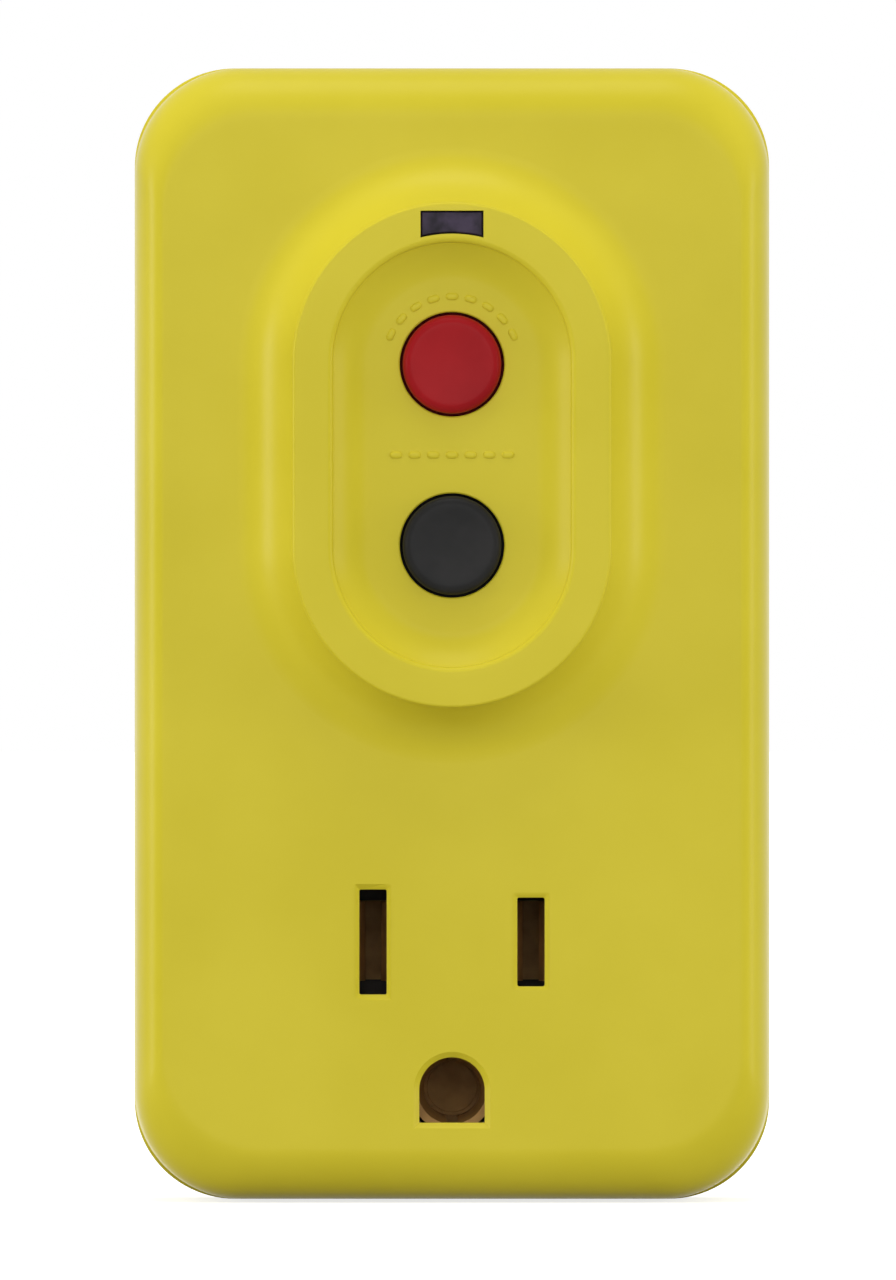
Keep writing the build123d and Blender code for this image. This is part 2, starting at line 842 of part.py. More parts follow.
save(outlet_contact(-1), "neutral_contact")
save(outlet_contact(1), "hot_contact")

with BuildPart() as fixed_rivets:
    with BuildSketch(front_plane(fixed_face)):
        with Locations((-arm_x, arm_contact_z), (arm_x, arm_contact_z)):
            Circle(rivet_radius)
    extrude(amount=fixed_rivet_height)
    with BuildSketch(front_plane(strap_rear)):
        with Locations((-arm_x, arm_contact_z), (arm_x, arm_contact_z)):
            Circle(rivet_shank_radius)
    extrude(amount=strap_thickness)
save(fixed_rivets.part, "fixed_rivets")

# Earth path: the ground pin's countersunk tail is riveted into the floor of the ground contact

ground_contact_inside = 2.3
ground_contact_wall = 0.6
ground_contact_room = 3.3  # mouth of the contact to the inside of the front cover
ground_contact_mouth = front_inside - ground_contact_room
ground_flare_length = 2.5
ground_contact_straight = ground_contact_mouth - ground_flare_length
ground_flare = 0.5
ground_slit = 0.9
pin_flange_radius = 3.6
pin_flange_thickness = 1.5
pin_shank_radius = 2.15  # through the floor of the outlet block, up to the floor of the contact
tail_radius = 1.5
tail_head_radius = 2.0
pin_neck_radius = 2.2
pin_neck_reach = 0.3  # the neck ends this far behind the rear face
floor_top = clip_floor + clip_thickness

with BuildPart() as ground_contact:
    with BuildSketch(plan_plane(-ground_drop)):
        with BuildLine():
            Polyline(
                (tail_radius + seat_gap, clip_floor),
                (ground_contact_inside + ground_contact_wall, clip_floor),
                (ground_contact_inside + ground_contact_wall, ground_contact_straight),
                (ground_contact_inside + ground_contact_wall + ground_flare, ground_contact_mouth),
                (ground_contact_inside + ground_flare, ground_contact_mouth),
                (ground_contact_inside, ground_contact_straight),
                (ground_contact_inside, floor_top),
                (tail_head_radius + seat_gap, floor_top),
                close=True,
            )
        make_face()
    revolve(axis=Axis((0, 0, -ground_drop), forwards))
    with BuildSketch(front_plane(clip_waist)):
        with Locations((0, -ground_drop)):
            Rectangle(ground_slit, 2 * (ground_contact_inside + ground_contact_wall + ground_flare))
    extrude(amount=ground_contact_mouth - clip_waist, mode=Mode.SUBTRACT)
save(ground_contact.part, "ground_contact")

with BuildPart() as ground_pin:
    dome = ground_pin_radius * dome_share
    dome_turns = [math.pi / 2 * step / round_steps for step in range(round_steps, -1, -1)]
    with BuildSketch(plan_plane(-ground_drop)):
        with BuildLine():
            Polyline(
                (0, -ground_pin_length),
                *[
                    (
                        ground_pin_radius - dome * (1 - math.cos(turn)),
                        dome * (1 - math.sin(turn)) - ground_pin_length,
                    )
                    for turn in dome_turns
                ],
                (ground_pin_radius, -pin_neck_reach),
                (pin_neck_radius, -pin_neck_reach),
                (pin_neck_radius, rear_wall + seat_gap),
                (pin_flange_radius, rear_wall + seat_gap),
                (pin_flange_radius, rear_wall + seat_gap + pin_flange_thickness),
                (pin_shank_radius, rear_wall + seat_gap + pin_flange_thickness),
                (pin_shank_radius, clip_floor - seat_gap),
                (tail_radius, clip_floor - seat_gap),
                (tail_radius, clip_floor),
                (tail_head_radius, floor_top - seat_gap),
                (0, floor_top - seat_gap),
                close=True,
            )
        make_face()
    revolve(axis=Axis((0, 0, -ground_drop), forwards))
save(ground_pin.part, "ground_pin")

# Plug blades, each with a wide root held between the rear cover and the outlet block

root_front = 7.2
blade_tip_chamfer = 1.2
blade_edge_chamfer = 0.5
blade_hole_radius = 1.6
blade_hole_reach = 11.7  # from the rear face


def plug_blade(x):
    """A plug blade with its holed tip and its wide root."""
    with BuildPart() as blade:
        with BuildSketch(side_plane(x)):
            with Locations((rear_wall, 0)):
                Rectangle(
                    blade_length + rear_wall, blade_width, align=(Align.MAX, Align.CENTER)
                )
            with Locations((rear_wall + seat_gap, 0)):
                Rectangle(
                    root_front - rear_wall - seat_gap, root_width, align=(Align.MIN, Align.CENTER)
                )
                Rectangle(seat_gap, blade_width, align=(Align.MAX, Align.CENTER))
            with Locations((-blade_hole_reach, 0)):
                Circle(blade_hole_radius, mode=Mode.SUBTRACT)
        extrude(amount=blade_thickness / 2, both=True)
        tip = blade.faces().sort_by(Axis.Y)[-1]
        tip_corners = tip.edges().filter_by(Axis.X)
        chamfer(tip_corners, blade_tip_chamfer)
        tip_sides = blade.faces().sort_by(Axis.Y)[-1].edges().filter_by(Axis.Z)
        chamfer(tip_sides, blade_edge_chamfer)
    return blade.part


save(plug_blade(neutral_x), "neutral_blade")
save(plug_blade(hot_x), "hot_blade")

# Outlet block: the insulating body that houses the contacts behind the front face

clip_clearance = 0.2
pocket_half_height = 4.6
ground_pocket_radius = 3.6
block_corner = 2.0

with BuildPart() as outlet_block:
    with BuildSketch(front_plane(block_rear)):
        with Locations((0, block_bottom_z)):
            Rectangle(
                2 * block_half_width, block_top_z - block_bottom_z, align=(Align.CENTER, Align.MIN)
            )
    extrude(amount=front_inside - block_rear - running_gap)
    fillet(outlet_block.edges().filter_by(Axis.Y), block_corner)
    with BuildSketch(front_plane(clip_floor - seat_gap)):
        for side in (-1, 1):
            with Locations((side * blade_pitch / 2, 0)):
                Rectangle(
                    2 * (clip_half_inside + clip_thickness + clip_clearance),
                    2 * pocket_half_height,
                )
        with Locations((0, -ground_drop)):
            Circle(ground_pocket_radius)
    extrude(amount=front_inside - clip_floor, mode=Mode.SUBTRACT)
    with BuildSketch(front_plane(strap_low - clip_clearance)):
        for side in (-1, 1):
            strap_middle = blade_pitch / 2 + clip_half_inside + clip_thickness / 2
            with Locations((side * strap_middle, 0)):
                Rectangle(
                    clip_thickness + 2 * clip_clearance,
                    block_top_z,
                    align=(Align.CENTER, Align.MIN),
                )
    extrude(amount=front_inside - strap_low, mode=Mode.SUBTRACT)
    with BuildSketch(front_plane(block_rear)):
        with Locations((0, -ground_drop)):
            Circle(pin_shank_radius + seat_gap)
    extrude(amount=clip_floor - block_rear, mode=Mode.SUBTRACT)
save(outlet_block.part, "outlet_block")

# Trip solenoid: bobbin, winding and yoke lie along Z, and the plunger strikes the latch above

solenoid_height = 18.5
yoke_block_gap = 1.05  # yoke above the outlet block
latch_yoke_gap = 2.65  # yoke below the lifter
bobbin_flange_radius = 5.6
bobbin_flange_thickness = 1.0
bobbin_tube_radius = 2.9
plunger_radius = 2.0
nose_radius = 1.1
plunger_bottom_z = block_top_z + loose_gap
plunger_spring_room = 2.5
plunger_spring_radius = 1.55
plunger_spring_wire = 0.14
plunger_spring_turns = 3
yoke_thickness = 0.9
yoke_half_width = 5.0
yoke_front = 24.0
winding_radius = 5.1
yoke_bottom_z = block_top_z + yoke_block_gap
yoke_top_z = lifter_bottom_z - latch_yoke_gap
bobbin_bottom_z = yoke_bottom_z + yoke_thickness + seat_gap
bobbin_top_z = yoke_top_z - yoke_thickness - seat_gap
plunger_shoulder_z = bobbin_top_z - plunger_spring_room
nose_z = yoke_top_z + seat_gap
coil_axis = Axis((0, -solenoid_height, 0), (0, 0, 1))


def turned(outline):
    """A solid of revolution about the solenoid's axis, from (radius, z) points."""
    with BuildPart() as piece:
        with BuildSketch(Plane(origin=(0, -solenoid_height, 0), x_dir=(1, 0, 0), z_dir=(0, -1, 0))):
            with BuildLine():
                Polyline(*outline, close=True)
            make_face()
        revolve(axis=coil_axis)
    return piece.part


bore_radius = plunger_radius + running_gap
save(
    turned(
        [
            (bore_radius, bobbin_bottom_z),
            (bobbin_flange_radius, bobbin_bottom_z),
            (bobbin_flange_radius, bobbin_bottom_z + bobbin_flange_thickness),
            (bobbin_tube_radius, bobbin_bottom_z + bobbin_flange_thickness),
            (bobbin_tube_radius, bobbin_top_z - bobbin_flange_thickness),
            (bobbin_flange_radius, bobbin_top_z - bobbin_flange_thickness),
            (bobbin_flange_radius, bobbin_top_z),
            (bore_radius, bobbin_top_z),
        ]
    ),
    "solenoid_bobbin",
)
winding_bottom_z = bobbin_bottom_z + bobbin_flange_thickness + seat_gap
winding_top_z = bobbin_top_z - bobbin_flange_thickness - seat_gap
save(
    turned(
        [
            (bobbin_tube_radius + seat_gap, winding_bottom_z),
            (winding_radius, winding_bottom_z),
            (winding_radius, winding_top_z),
            (bobbin_tube_radius + seat_gap, winding_top_z),
        ]
    ),
    "solenoid_winding",
)
save(
    turned(
        [
            (0, plunger_bottom_z),
            (plunger_radius, plunger_bottom_z),
            (plunger_radius, plunger_shoulder_z),
            (nose_radius, plunger_shoulder_z),
            (nose_radius, nose_z),
            (0, nose_z),
        ]
    ),
    "solenoid_plunger",
)
save(
    coil_spring(
        (0, -solenoid_height, plunger_shoulder_z + seat_gap),
        upwards,
        bobbin_top_z - plunger_shoulder_z - 2 * seat_gap,
        plunger_spring_radius,
        plunger_spring_wire,
        plunger_spring_turns,
    ),
    "plunger_spring",
)

with BuildPart() as solenoid_yoke:
    with BuildSketch(side_plane(0)):
        with Locations((board_front + seat_gap, yoke_bottom_z)):
            Rectangle(
                yoke_front - board_front - seat_gap,
                yoke_top_z - yoke_bottom_z,
                align=(Align.MIN, Align.MIN),
            )
        with Locations((board_front + seat_gap + yoke_thickness, bobbin_bottom_z - seat_gap)):
            Rectangle(
                yoke_front - board_front,
                bobbin_top_z - bobbin_bottom_z + 2 * seat_gap,
                align=(Align.MIN, Align.MIN),
                mode=Mode.SUBTRACT,
            )
    extrude(amount=yoke_half_width, both=True)
    with BuildSketch(Plane.XY.offset(yoke_bottom_z)):
        with Locations((0, -solenoid_height)):
            Circle(bore_radius)
    extrude(amount=yoke_thickness, mode=Mode.SUBTRACT)
    with BuildSketch(Plane.XY.offset(yoke_top_z - yoke_thickness)):
        with Locations((0, -solenoid_height)):
            Circle(nose_radius + running_gap)
    extrude(amount=yoke_thickness, mode=Mode.SUBTRACT)
save(solenoid_yoke.part, "solenoid_yoke")

# Lifter: the moulded carriage that the reset button draws forwards, with a wing under either arm

lifter_half_width = 7.0
wing_half_height = 2.0
wing_reach = arm_x + arm_width / 2
wing_nose_radius = 0.8
latch_thickness = 0.8
latch_half_width = 3.1
latch_rise = 2.4  # latch plate in front of the lifter's rear
latch_rear = lifter_foot + latch_rise
latch_gap = 0.1
latch_overlap = 4.1  # latch plate above the reset button's axis
latch_top_z = reset_z + latch_overlap
latch_flange_reach = 5.0
latch_flange_gap = 0.1
latch_spring_radius = 1.0
latch_spring_wire = 0.14
latch_spring_turns = 3
latch_spring_length = 4.0

with BuildPart() as lifter:
    with BuildSketch(front_plane(lifter_foot)):
        with Locations((0, lifter_bottom_z)):
            Rectangle(
                2 * lifter_half_width,
                lifter_top_z - lifter_bottom_z,
                align=(Align.CENTER, Align.MIN),
            )
    extrude(amount=lifter_depth)
    with BuildSketch(side_plane(0)):
        wing_front = lifter_top - wing_nose_radius
        with Locations((wing_front - wing_depth, reset_z)):
            Rectangle(wing_depth, 2 * wing_half_height, align=(Align.MIN, Align.CENTER))
        with Locations((wing_front, reset_z)):
            Circle(wing_nose_radius)
    extrude(amount=wing_reach, both=True)
    with BuildSketch(front_plane(lifter_foot)):
        with Locations((0, reset_z)):
            Circle(stem_radius + running_gap)
    extrude(amount=lifter_depth, mode=Mode.SUBTRACT)
    with BuildSketch(front_plane(latch_rear - latch_gap)):
        with Locations((0, lifter_bottom_z)):
            Rectangle(
                2 * (latch_half_width + latch_gap),
                latch_top_z + plunger_travel + running_gap - lifter_bottom_z,
                align=(Align.CENTER, Align.MIN),
            )
    extrude(amount=latch_thickness + 2 * latch_gap, mode=Mode.SUBTRACT)
    spring_pocket = latch_spring_radius + latch_spring_wire + running_gap
    with BuildSketch(Plane.XY.offset(latch_top_z)):
        with Locations((0, -(latch_rear + latch_thickness / 2))):
            Circle(spring_pocket)
    extrude(amount=latch_spring_length + running_gap, mode=Mode.SUBTRACT)
save(lifter.part, "lifter")

with BuildPart() as latch_plate:
    flange_z = nose_z + latch_flange_gap
    with BuildSketch(front_plane(latch_rear)):
        with Locations((0, flange_z)):
            Rectangle(
                2 * latch_half_width, latch_top_z - flange_z, align=(Align.CENTER, Align.MIN)
            )
        with Locations((0, reset_z - plunger_travel / 2)):
            SlotCenterToCenter(
                plunger_travel, 2 * (stem_radius + running_gap), rotation=90, mode=Mode.SUBTRACT
            )
    extrude(amount=latch_thickness)
    with BuildSketch(front_plane(latch_rear)):
        with Locations((0, flange_z)):
            Rectangle(2 * latch_half_width, latch_thickness, align=(Align.CENTER, Align.MIN))
    extrude(amount=latch_flange_reach)
save(latch_plate.part, "latch_plate")
save(
    coil_spring(
        (0, -(latch_rear + latch_thickness / 2), latch_top_z + seat_gap),
        upwards,
        latch_spring_length,
        latch_spring_radius,
        latch_spring_wire,
        latch_spring_turns,
    ),
    "latch_spring",
)

# Mechanism frame: guides the lifter, carries the button springs and backs the fixed contacts

frame_wall = 1.4
frame_gap = 0.2
frame_plate_half_width = 9.0
ear_reach = 15.8
ear_below_contact = 2.9
ear_above_contact = 3.5
ear_bottom_z = arm_contact_z - ear_below_contact
ear_top_z = arm_contact_z + ear_above_contact
window_play = 0.3
frame_side = lifter_half_width + frame_gap

with BuildPart() as mechanism_frame:
    with BuildSketch(front_plane(frame_rear)):
        with Locations((0, frame_bottom_z)):
            Rectangle(
                2 * frame_plate_half_width,
                frame_top_z - frame_bottom_z,
                align=(Align.CENTER, Align.MIN),
            )
        with Locations((0, ear_bottom_z)):
            Rectangle(2 * ear_reach, ear_top_z - ear_bottom_z, align=(Align.CENTER, Align.MIN))
        with Locations((0, test_z), (0, reset_z)):
            Circle(stem_radius + running_gap, mode=Mode.SUBTRACT)
    extrude(amount=frame_plate)
    with BuildSketch(front_plane(board_front + seat_gap)):
        for side in (-1, 1):
            with Locations((side * (frame_side + frame_wall / 2), lifter_bottom_z)):
                Rectangle(
                    frame_wall, lifter_top_z - lifter_bottom_z, align=(Align.CENTER, Align.MIN)
                )
        with Locations((0, frame_top_z)):
            Rectangle(
                2 * (frame_side + frame_wall), frame_wall, align=(Align.CENTER, Align.MAX)
            )
    extrude(amount=frame_rear - board_front - seat_gap)
    with BuildSketch(side_plane(0)):
        with Locations((lifter_top - wing_nose_radius - wing_depth - window_play, reset_z)):
            Rectangle(
                wing_depth + wing_nose_radius + lifter_travel + 2 * window_play,
                2 * (wing_half_height + window_play),
                align=(Align.MIN, Align.CENTER),
            )
    extrude(amount=frame_side + 2 * frame_wall, both=True, mode=Mode.SUBTRACT)
save(mechanism_frame.part, "mechanism_frame")

# Test contact: a sprung leaf that the test button bends down onto a stud on the board

leaf_root_x = -7.4
leaf_tip_x = 3.4
leaf_width = 3.0
leaf_post_thickness = 1.0
leaf_foot_length = 1.6
stud_x = 2.0
stud_radius = 1.0
stud_height = 1.9

with BuildPart() as test_leaf:
    with BuildSketch(front_plane(test_leaf_height)):
        with Locations((leaf_root_x, test_z)):
            Rectangle(leaf_tip_x - leaf_root_x, leaf_width, align=(Align.MIN, Align.CENTER))
    extrude(amount=test_leaf_thickness)
save(test_leaf.part, "test_leaf")

with BuildPart() as leaf_post:
    with BuildSketch(plan_plane(test_z)):
        with Locations((leaf_root_x - root_gap, board_front + seat_gap)):
            Rectangle(
                leaf_post_thickness,
                test_leaf_height + test_leaf_thickness - board_front - seat_gap,
                align=(Align.MAX, Align.MIN),
            )
            Rectangle(
                leaf_post_thickness + leaf_foot_length,
                leaf_post_thickness,
                align=(Align.CENTER, Align.MIN),
            )
    extrude(amount=leaf_width / 2, both=True)
save(leaf_post.part, "leaf_post")

with BuildPart() as test_stud:
    with BuildSketch(front_plane(board_front + seat_gap)):
        with Locations((stud_x, test_z)):
            Circle(stud_radius)
    extrude(amount=stud_height)
save(test_stud.part, "test_stud")

# Sensing cores in their housing, and the supply leads that pass through them to the arms

core_outside = 6.8
core_inside = 4.4
core_thickness = 3.0
core_wall = 0.8
lead_height = 5.6  # behind the board
lead_front = 22.5  # in front of the cores
housing_floor = board_front + seat_gap
housing_top = housing_floor + core_wall + 2 * core_thickness + 3 * seat_gap

with BuildPart() as core_housing:
    with BuildSketch(front_plane(housing_floor)):
        with Locations((core_x, core_z)):
            Circle(core_outside + seat_gap + core_wall)
            Circle(core_inside - seat_gap - core_wall, mode=Mode.SUBTRACT)
    extrude(amount=housing_top - housing_floor)
    with BuildSketch(front_plane(housing_floor + core_wall)):
        with Locations((core_x, core_z)):
            Circle(core_outside + seat_gap)
            Circle(core_inside - seat_gap, mode=Mode.SUBTRACT)
    extrude(amount=housing_top - housing_floor, mode=Mode.SUBTRACT)
save(core_housing.part, "core_housing")

for core_name, core_level in (("neutral_core", 0), ("differential_core", 1)):
    core_foot = housing_floor + core_wall + seat_gap + core_level * (core_thickness + seat_gap)
    with BuildPart() as core:
        with BuildSketch(front_plane(core_foot)):
            with Locations((core_x, core_z)):
                Circle(core_outside)
                Circle(core_inside, mode=Mode.SUBTRACT)
        extrude(amount=core_thickness)
    save(core.part, core_name)

lead_end_z = post_rear_z + seat_gap
lead_start_z = root_width / 2 + seat_gap
hot_lead_x = core_x + lead_spread
neutral_lead_x = core_x - lead_spread
swing_above_block = 11.4  # where a lead starts to swing across behind the board
swing_below_cores = 16.0
cross_rise = 4.6  # lead that crosses above the arm posts
cross_swing = 5.0
swing_start_z = block_top_z + swing_above_block
swing_end_z = core_z - swing_below_cores
cross_z = lead_end_z + cross_rise
cross_start_x = hot_lead_x + cross_swing
lead_sides = 10
wide_bend = 8.0
core_bend = 3.6
close_bend = 2.8


def supply_lead(places, radii):
    """A round lead along the points (x, height, z), with a bend of its own at each corner."""
    points = [(x, -height, z) for x, height, z in places]
    with BuildPart() as lead:
        with BuildLine() as route:
            FilletPolyline(*points, radius=radii)
        path = route.line
        with BuildSketch(Plane(origin=path @ 0, z_dir=path % 0)):
            RegularPolygon(lead_radius, lead_sides)
        sweep(path=path)
    print("lead bends", radii)
    return lead.part


save(
    supply_lead(
        [
            (neutral_x, lead_height, lead_start_z),
            (neutral_x, lead_height, swing_start_z),
            (neutral_lead_x, lead_height, swing_end_z),
            (neutral_lead_x, lead_height, core_z),
            (neutral_lead_x, lead_front, core_z),
            (neutral_lead_x, lead_front, lead_end_z),
        ],
        [wide_bend, wide_bend, core_bend, close_bend],
    ),
    "neutral_lead",
)
save(
    supply_lead(
        [
            (hot_x, lead_height, lead_start_z),
            (hot_x, lead_height, swing_start_z),
            (hot_lead_x, lead_height, swing_end_z),
            (hot_lead_x, lead_height, core_z),
            (hot_lead_x, lead_front, core_z),
            (cross_start_x, lead_front, cross_z),
            (arm_x, lead_front, cross_z),
            (arm_x, lead_front, lead_end_z),
        ],
        [wide_bend, wide_bend, core_bend, close_bend, close_bend, close_bend],
    ),
    "hot_lead",
)

# Electronics on the board: surge disc, capacitors, thyristor, sensing chip and resistors

side_row_inset = 3.2  # rows of components in from the sides of the board
side_row_x = board_half_width - side_row_inset
varistor_x = 9.5
varistor_drop = 3.6  # below the top of the tab
varistor_z = tab_top_z - varistor_drop
varistor_radius = 5.0
varistor_thickness = 3.4
varistor_stand = 0.8
capacitor_rise = 8.1  # above the reset button's axis
capacitor_z = reset_z + capacitor_rise
capacitor_round = 0.45
capacitor_radius = 2.7
capacitor_height = 9.0
film_height = 7.0
film_width = 5.0
film_length = 8.0
film_round = 0.6
thyristor_z = reset_z
thyristor_radius = 2.3
thyristor_height = 4.6
leg_height = 2.4
leg_width = 0.45
leg_pitch = 1.27
chip_width = 3.9
chip_length = 4.9
chip_height = 1.5
chip_stand = 0.15
chip_leg_reach = 1.0
chip_leg_count = 4
resistor_radius = 0.9
resistor_length = 5.2
resistor_pitch = 4.0
resistor_count = 3
resistor_rise = 8.3  # first resistor above the bottom of the board
resistor_first_z = board_bottom_z + resistor_rise
resistor_lead = 0.5
resistor_lead_reach = 0.5
components_foot = board_front + seat_gap

with BuildPart() as surge_varistor:
    with BuildSketch(Plane.XY.offset(varistor_z)):
        with Locations((varistor_x, -(components_foot + varistor_stand + varistor_radius))):
            Circle(varistor_radius)
    extrude(amount=varistor_thickness / 2, both=True)
    with BuildSketch(front_plane(components_foot)):
        with Locations((varistor_x, varistor_z)):
            with GridLocations(varistor_radius, 0, 2, 1):
                Rectangle(leg_width, leg_width)
    extrude(amount=varistor_stand + varistor_radius)
save(surge_varistor.part, "surge_varistor")

with BuildPart() as smoothing_capacitor:
    with BuildSketch(front_plane(components_foot)):
        with Locations((side_row_x, capacitor_z)):
            Circle(capacitor_radius)
    extrude(amount=capacitor_height)
    chamfer(smoothing_capacitor.faces().sort_by(Axis.Y)[0].edges(), capacitor_round)
save(smoothing_capacitor.part, "smoothing_capacitor")

with BuildPart() as film_capacitor:
    with BuildSketch(front_plane(components_foot)):
        with Locations((-side_row_x, capacitor_z)):
            Rectangle(film_width, film_length)
    extrude(amount=film_height)
    chamfer(film_capacitor.faces().sort_by(Axis.Y)[0].edges(), film_round)
save(film_capacitor.part, "film_capacitor")

with BuildPart() as trip_thyristor:
    with BuildSketch(front_plane(components_foot + leg_height)):
        with Locations((side_row_x, thyristor_z)):
            Circle(thyristor_radius)
        with Locations((side_row_x + thyristor_radius / 2, thyristor_z)):
            Rectangle(
                thyristor_radius,
                2 * thyristor_radius,
                align=(Align.MIN, Align.CENTER),
                mode=Mode.SUBTRACT,
            )
    extrude(amount=thyristor_height)
    with BuildSketch(front_plane(components_foot)):
        with Locations((side_row_x, thyristor_z)):
            with GridLocations(0, leg_pitch, 1, 3):
                Rectangle(leg_width, leg_width)
    extrude(amount=leg_height + thyristor_height / 2)
save(trip_thyristor.part, "trip_thyristor")

with BuildPart() as sensing_chip:
    with BuildSketch(front_plane(components_foot + chip_stand)):
        with Locations((-side_row_x, thyristor_z)):
            Rectangle(chip_width, chip_length)
    extrude(amount=chip_height)
    with BuildSketch(front_plane(components_foot)):
        with Locations((-side_row_x, thyristor_z)):
            with GridLocations(0, leg_pitch, 1, chip_leg_count):
                Rectangle(chip_width + 2 * chip_leg_reach, leg_width)
            Rectangle(chip_width, chip_length, mode=Mode.SUBTRACT)
    extrude(amount=chip_stand + chip_height / 2)
save(sensing_chip.part, "sensing_chip")

with BuildPart() as resistors:
    resistor_level = components_foot + resistor_radius
    for side in (-1, 1):
        for step in range(resistor_count):
            resistor_z = resistor_first_z + step * resistor_pitch
            with Locations(
                Location((side * side_row_x, -resistor_level, resistor_z), (0, 90, 0))
            ):
                Cylinder(resistor_radius, resistor_length)
                Box(resistor_lead, resistor_lead, resistor_length + 2 * resistor_lead_reach)
save(resistors.part, "resistors")
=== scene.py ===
import math

import bmesh
import bpy
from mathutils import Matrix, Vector


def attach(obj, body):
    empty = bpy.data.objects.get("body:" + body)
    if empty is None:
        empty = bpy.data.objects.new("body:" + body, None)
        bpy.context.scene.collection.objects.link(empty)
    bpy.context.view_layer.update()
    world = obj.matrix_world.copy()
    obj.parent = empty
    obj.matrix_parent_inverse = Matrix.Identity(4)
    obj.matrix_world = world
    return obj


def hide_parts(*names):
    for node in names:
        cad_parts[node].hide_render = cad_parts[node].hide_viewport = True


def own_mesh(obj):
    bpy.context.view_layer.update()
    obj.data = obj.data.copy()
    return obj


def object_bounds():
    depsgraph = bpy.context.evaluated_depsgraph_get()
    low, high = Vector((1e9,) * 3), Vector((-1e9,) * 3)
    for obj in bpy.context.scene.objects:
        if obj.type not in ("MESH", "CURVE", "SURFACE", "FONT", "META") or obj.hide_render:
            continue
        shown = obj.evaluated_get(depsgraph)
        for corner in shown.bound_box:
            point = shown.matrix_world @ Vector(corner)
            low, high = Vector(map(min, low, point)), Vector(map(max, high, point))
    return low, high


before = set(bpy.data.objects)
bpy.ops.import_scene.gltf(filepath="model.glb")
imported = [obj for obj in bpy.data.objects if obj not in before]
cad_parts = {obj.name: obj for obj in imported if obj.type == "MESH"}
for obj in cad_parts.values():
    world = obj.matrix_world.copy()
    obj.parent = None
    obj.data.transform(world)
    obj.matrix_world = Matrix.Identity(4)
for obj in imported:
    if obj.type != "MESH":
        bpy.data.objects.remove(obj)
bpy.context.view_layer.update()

# Rear cover: the shallow half of the housing that lies against the wall plate, injection moulded in
# yellow ABS. Its outer edge is rounded, and the openings for the plug and the four screws go through.
MM, WELD = 0.001, 0.001
BODY_WIDTH, BODY_HEIGHT, BODY_CORNER, BODY_MIDDLE_Z = 51.4, 91.6, 8.8, 24.8
REAR_DEPTH, WALL, REAR_WALL, INNER_CORNER = 9.0, 2.2, 2.4, 6.6
REAR_EDGE, JOINT_BREAK, CORNER_STEPS, INNER_STEPS = 1.0, 0.25, 24, 16
BLADE_X, PIN_Z = 6.35, -11.9
BLADE_OPENING, PIN_OPENING = (1.7, 6.55), 2.475
SCREW_PLACES = [(x, z) for x in (-19.7, 19.7) for z in (-14.2, 63.8)]
BOSS, WELL, WELL_DEPTH, WELL_LIP, DRILL = 4.17, 2.8, 2.6, 0.3, 1.5
OVERRUN = 1.0


def linear(hex_colour):
    """An sRGB hex colour as the linear values that a shader takes."""
    shares = [int(hex_colour[i:i + 2], 16) / 255 for i in (1, 3, 5)]
    return [s / 12.92 if s <= 0.04045 else ((s + 0.055) / 1.055) ** 2.4 for s in shares] + [1]


def add(material, kind, inputs=None, **settings):
    """Adds one node with its settings, its values and the links that come into it."""
    node = material.node_tree.nodes.new(kind)
    for name, value in settings.items():
        setattr(node, name, value)
    for name, value in (inputs or {}).items():
        if isinstance(value, bpy.types.NodeSocket):
            material.node_tree.links.new(value, node.inputs[name])
        else:
            node.inputs[name].default_value = value
    return node


def surface(name, pale, deep, patch, roughness, grain, depth, stretch=(1, 1, 1), **values):
    """A material whose colour drifts in patches and whose gloss is broken by a fine grain.

    patch and grain are sizes in millimetres, depth is the grain's height in millimetres, and stretch
    draws the grain out along an axis, as brushing or rolling does.
    """
    material = bpy.data.materials.new(name)
    material.use_nodes = True
    material.node_tree.nodes.clear()
    place = add(material, "ShaderNodeTexCoord").outputs["Object"]
    drawn = add(material, "ShaderNodeMapping", {"Vector": place, "Scale": stretch}).outputs["Vector"]
    drift = add(
        material, "ShaderNodeTexNoise", {"Vector": place, "Scale": 1 / (patch * MM), "Detail": 3}
    ).outputs["Fac"]
    # Noise keeps near its middle, so that part of it is spread over the whole way between the colours.
    spread = add(material, "ShaderNodeMapRange", {"Value": drift, "From Min": 0.35, "From Max": 0.65})
    colour = add(material, "ShaderNodeMix", {"Factor": spread.outputs["Result"]}, data_type="RGBA")
    colour.inputs["A"].default_value, colour.inputs["B"].default_value = linear(deep), linear(pale)
    fine = add(
        material, "ShaderNodeTexNoise",
        {"Vector": drawn, "Scale": 1 / (grain * MM), "Detail": 3, "Roughness": 0.6},
    ).outputs["Fac"]
    rough = add(
        material, "ShaderNodeMapRange",
        {"Value": fine, "To Min": roughness * 0.85, "To Max": roughness * 1.15},
    )
    bump = add(material, "ShaderNodeBump", {"Height": fine, "Strength": 0.6, "Distance": depth * MM})
    shader = add(
        material, "ShaderNodeBsdfPrincipled",
        {
            "Base Color": colour.outputs["Result"], "Roughness": rough.outputs["Result"],
            "Normal": bump.outputs["Normal"], **values,
        },
    )
    add(material, "ShaderNodeOutputMaterial", {"Surface": shader.outputs[0]})
    return material


def start(name, add_primitive, **settings):
    """Adds a primitive under its own name, with nothing else selected, and opens it for editing."""
    bpy.ops.object.select_all(action="DESELECT")
    add_primitive(**settings)
    piece = bpy.context.object
    piece.name = piece.data.name = name
    bpy.ops.object.transform_apply(location=True, rotation=True, scale=True)
    bpy.ops.object.mode_set(mode="EDIT")
    bpy.ops.mesh.select_all(action="SELECT")
    return piece


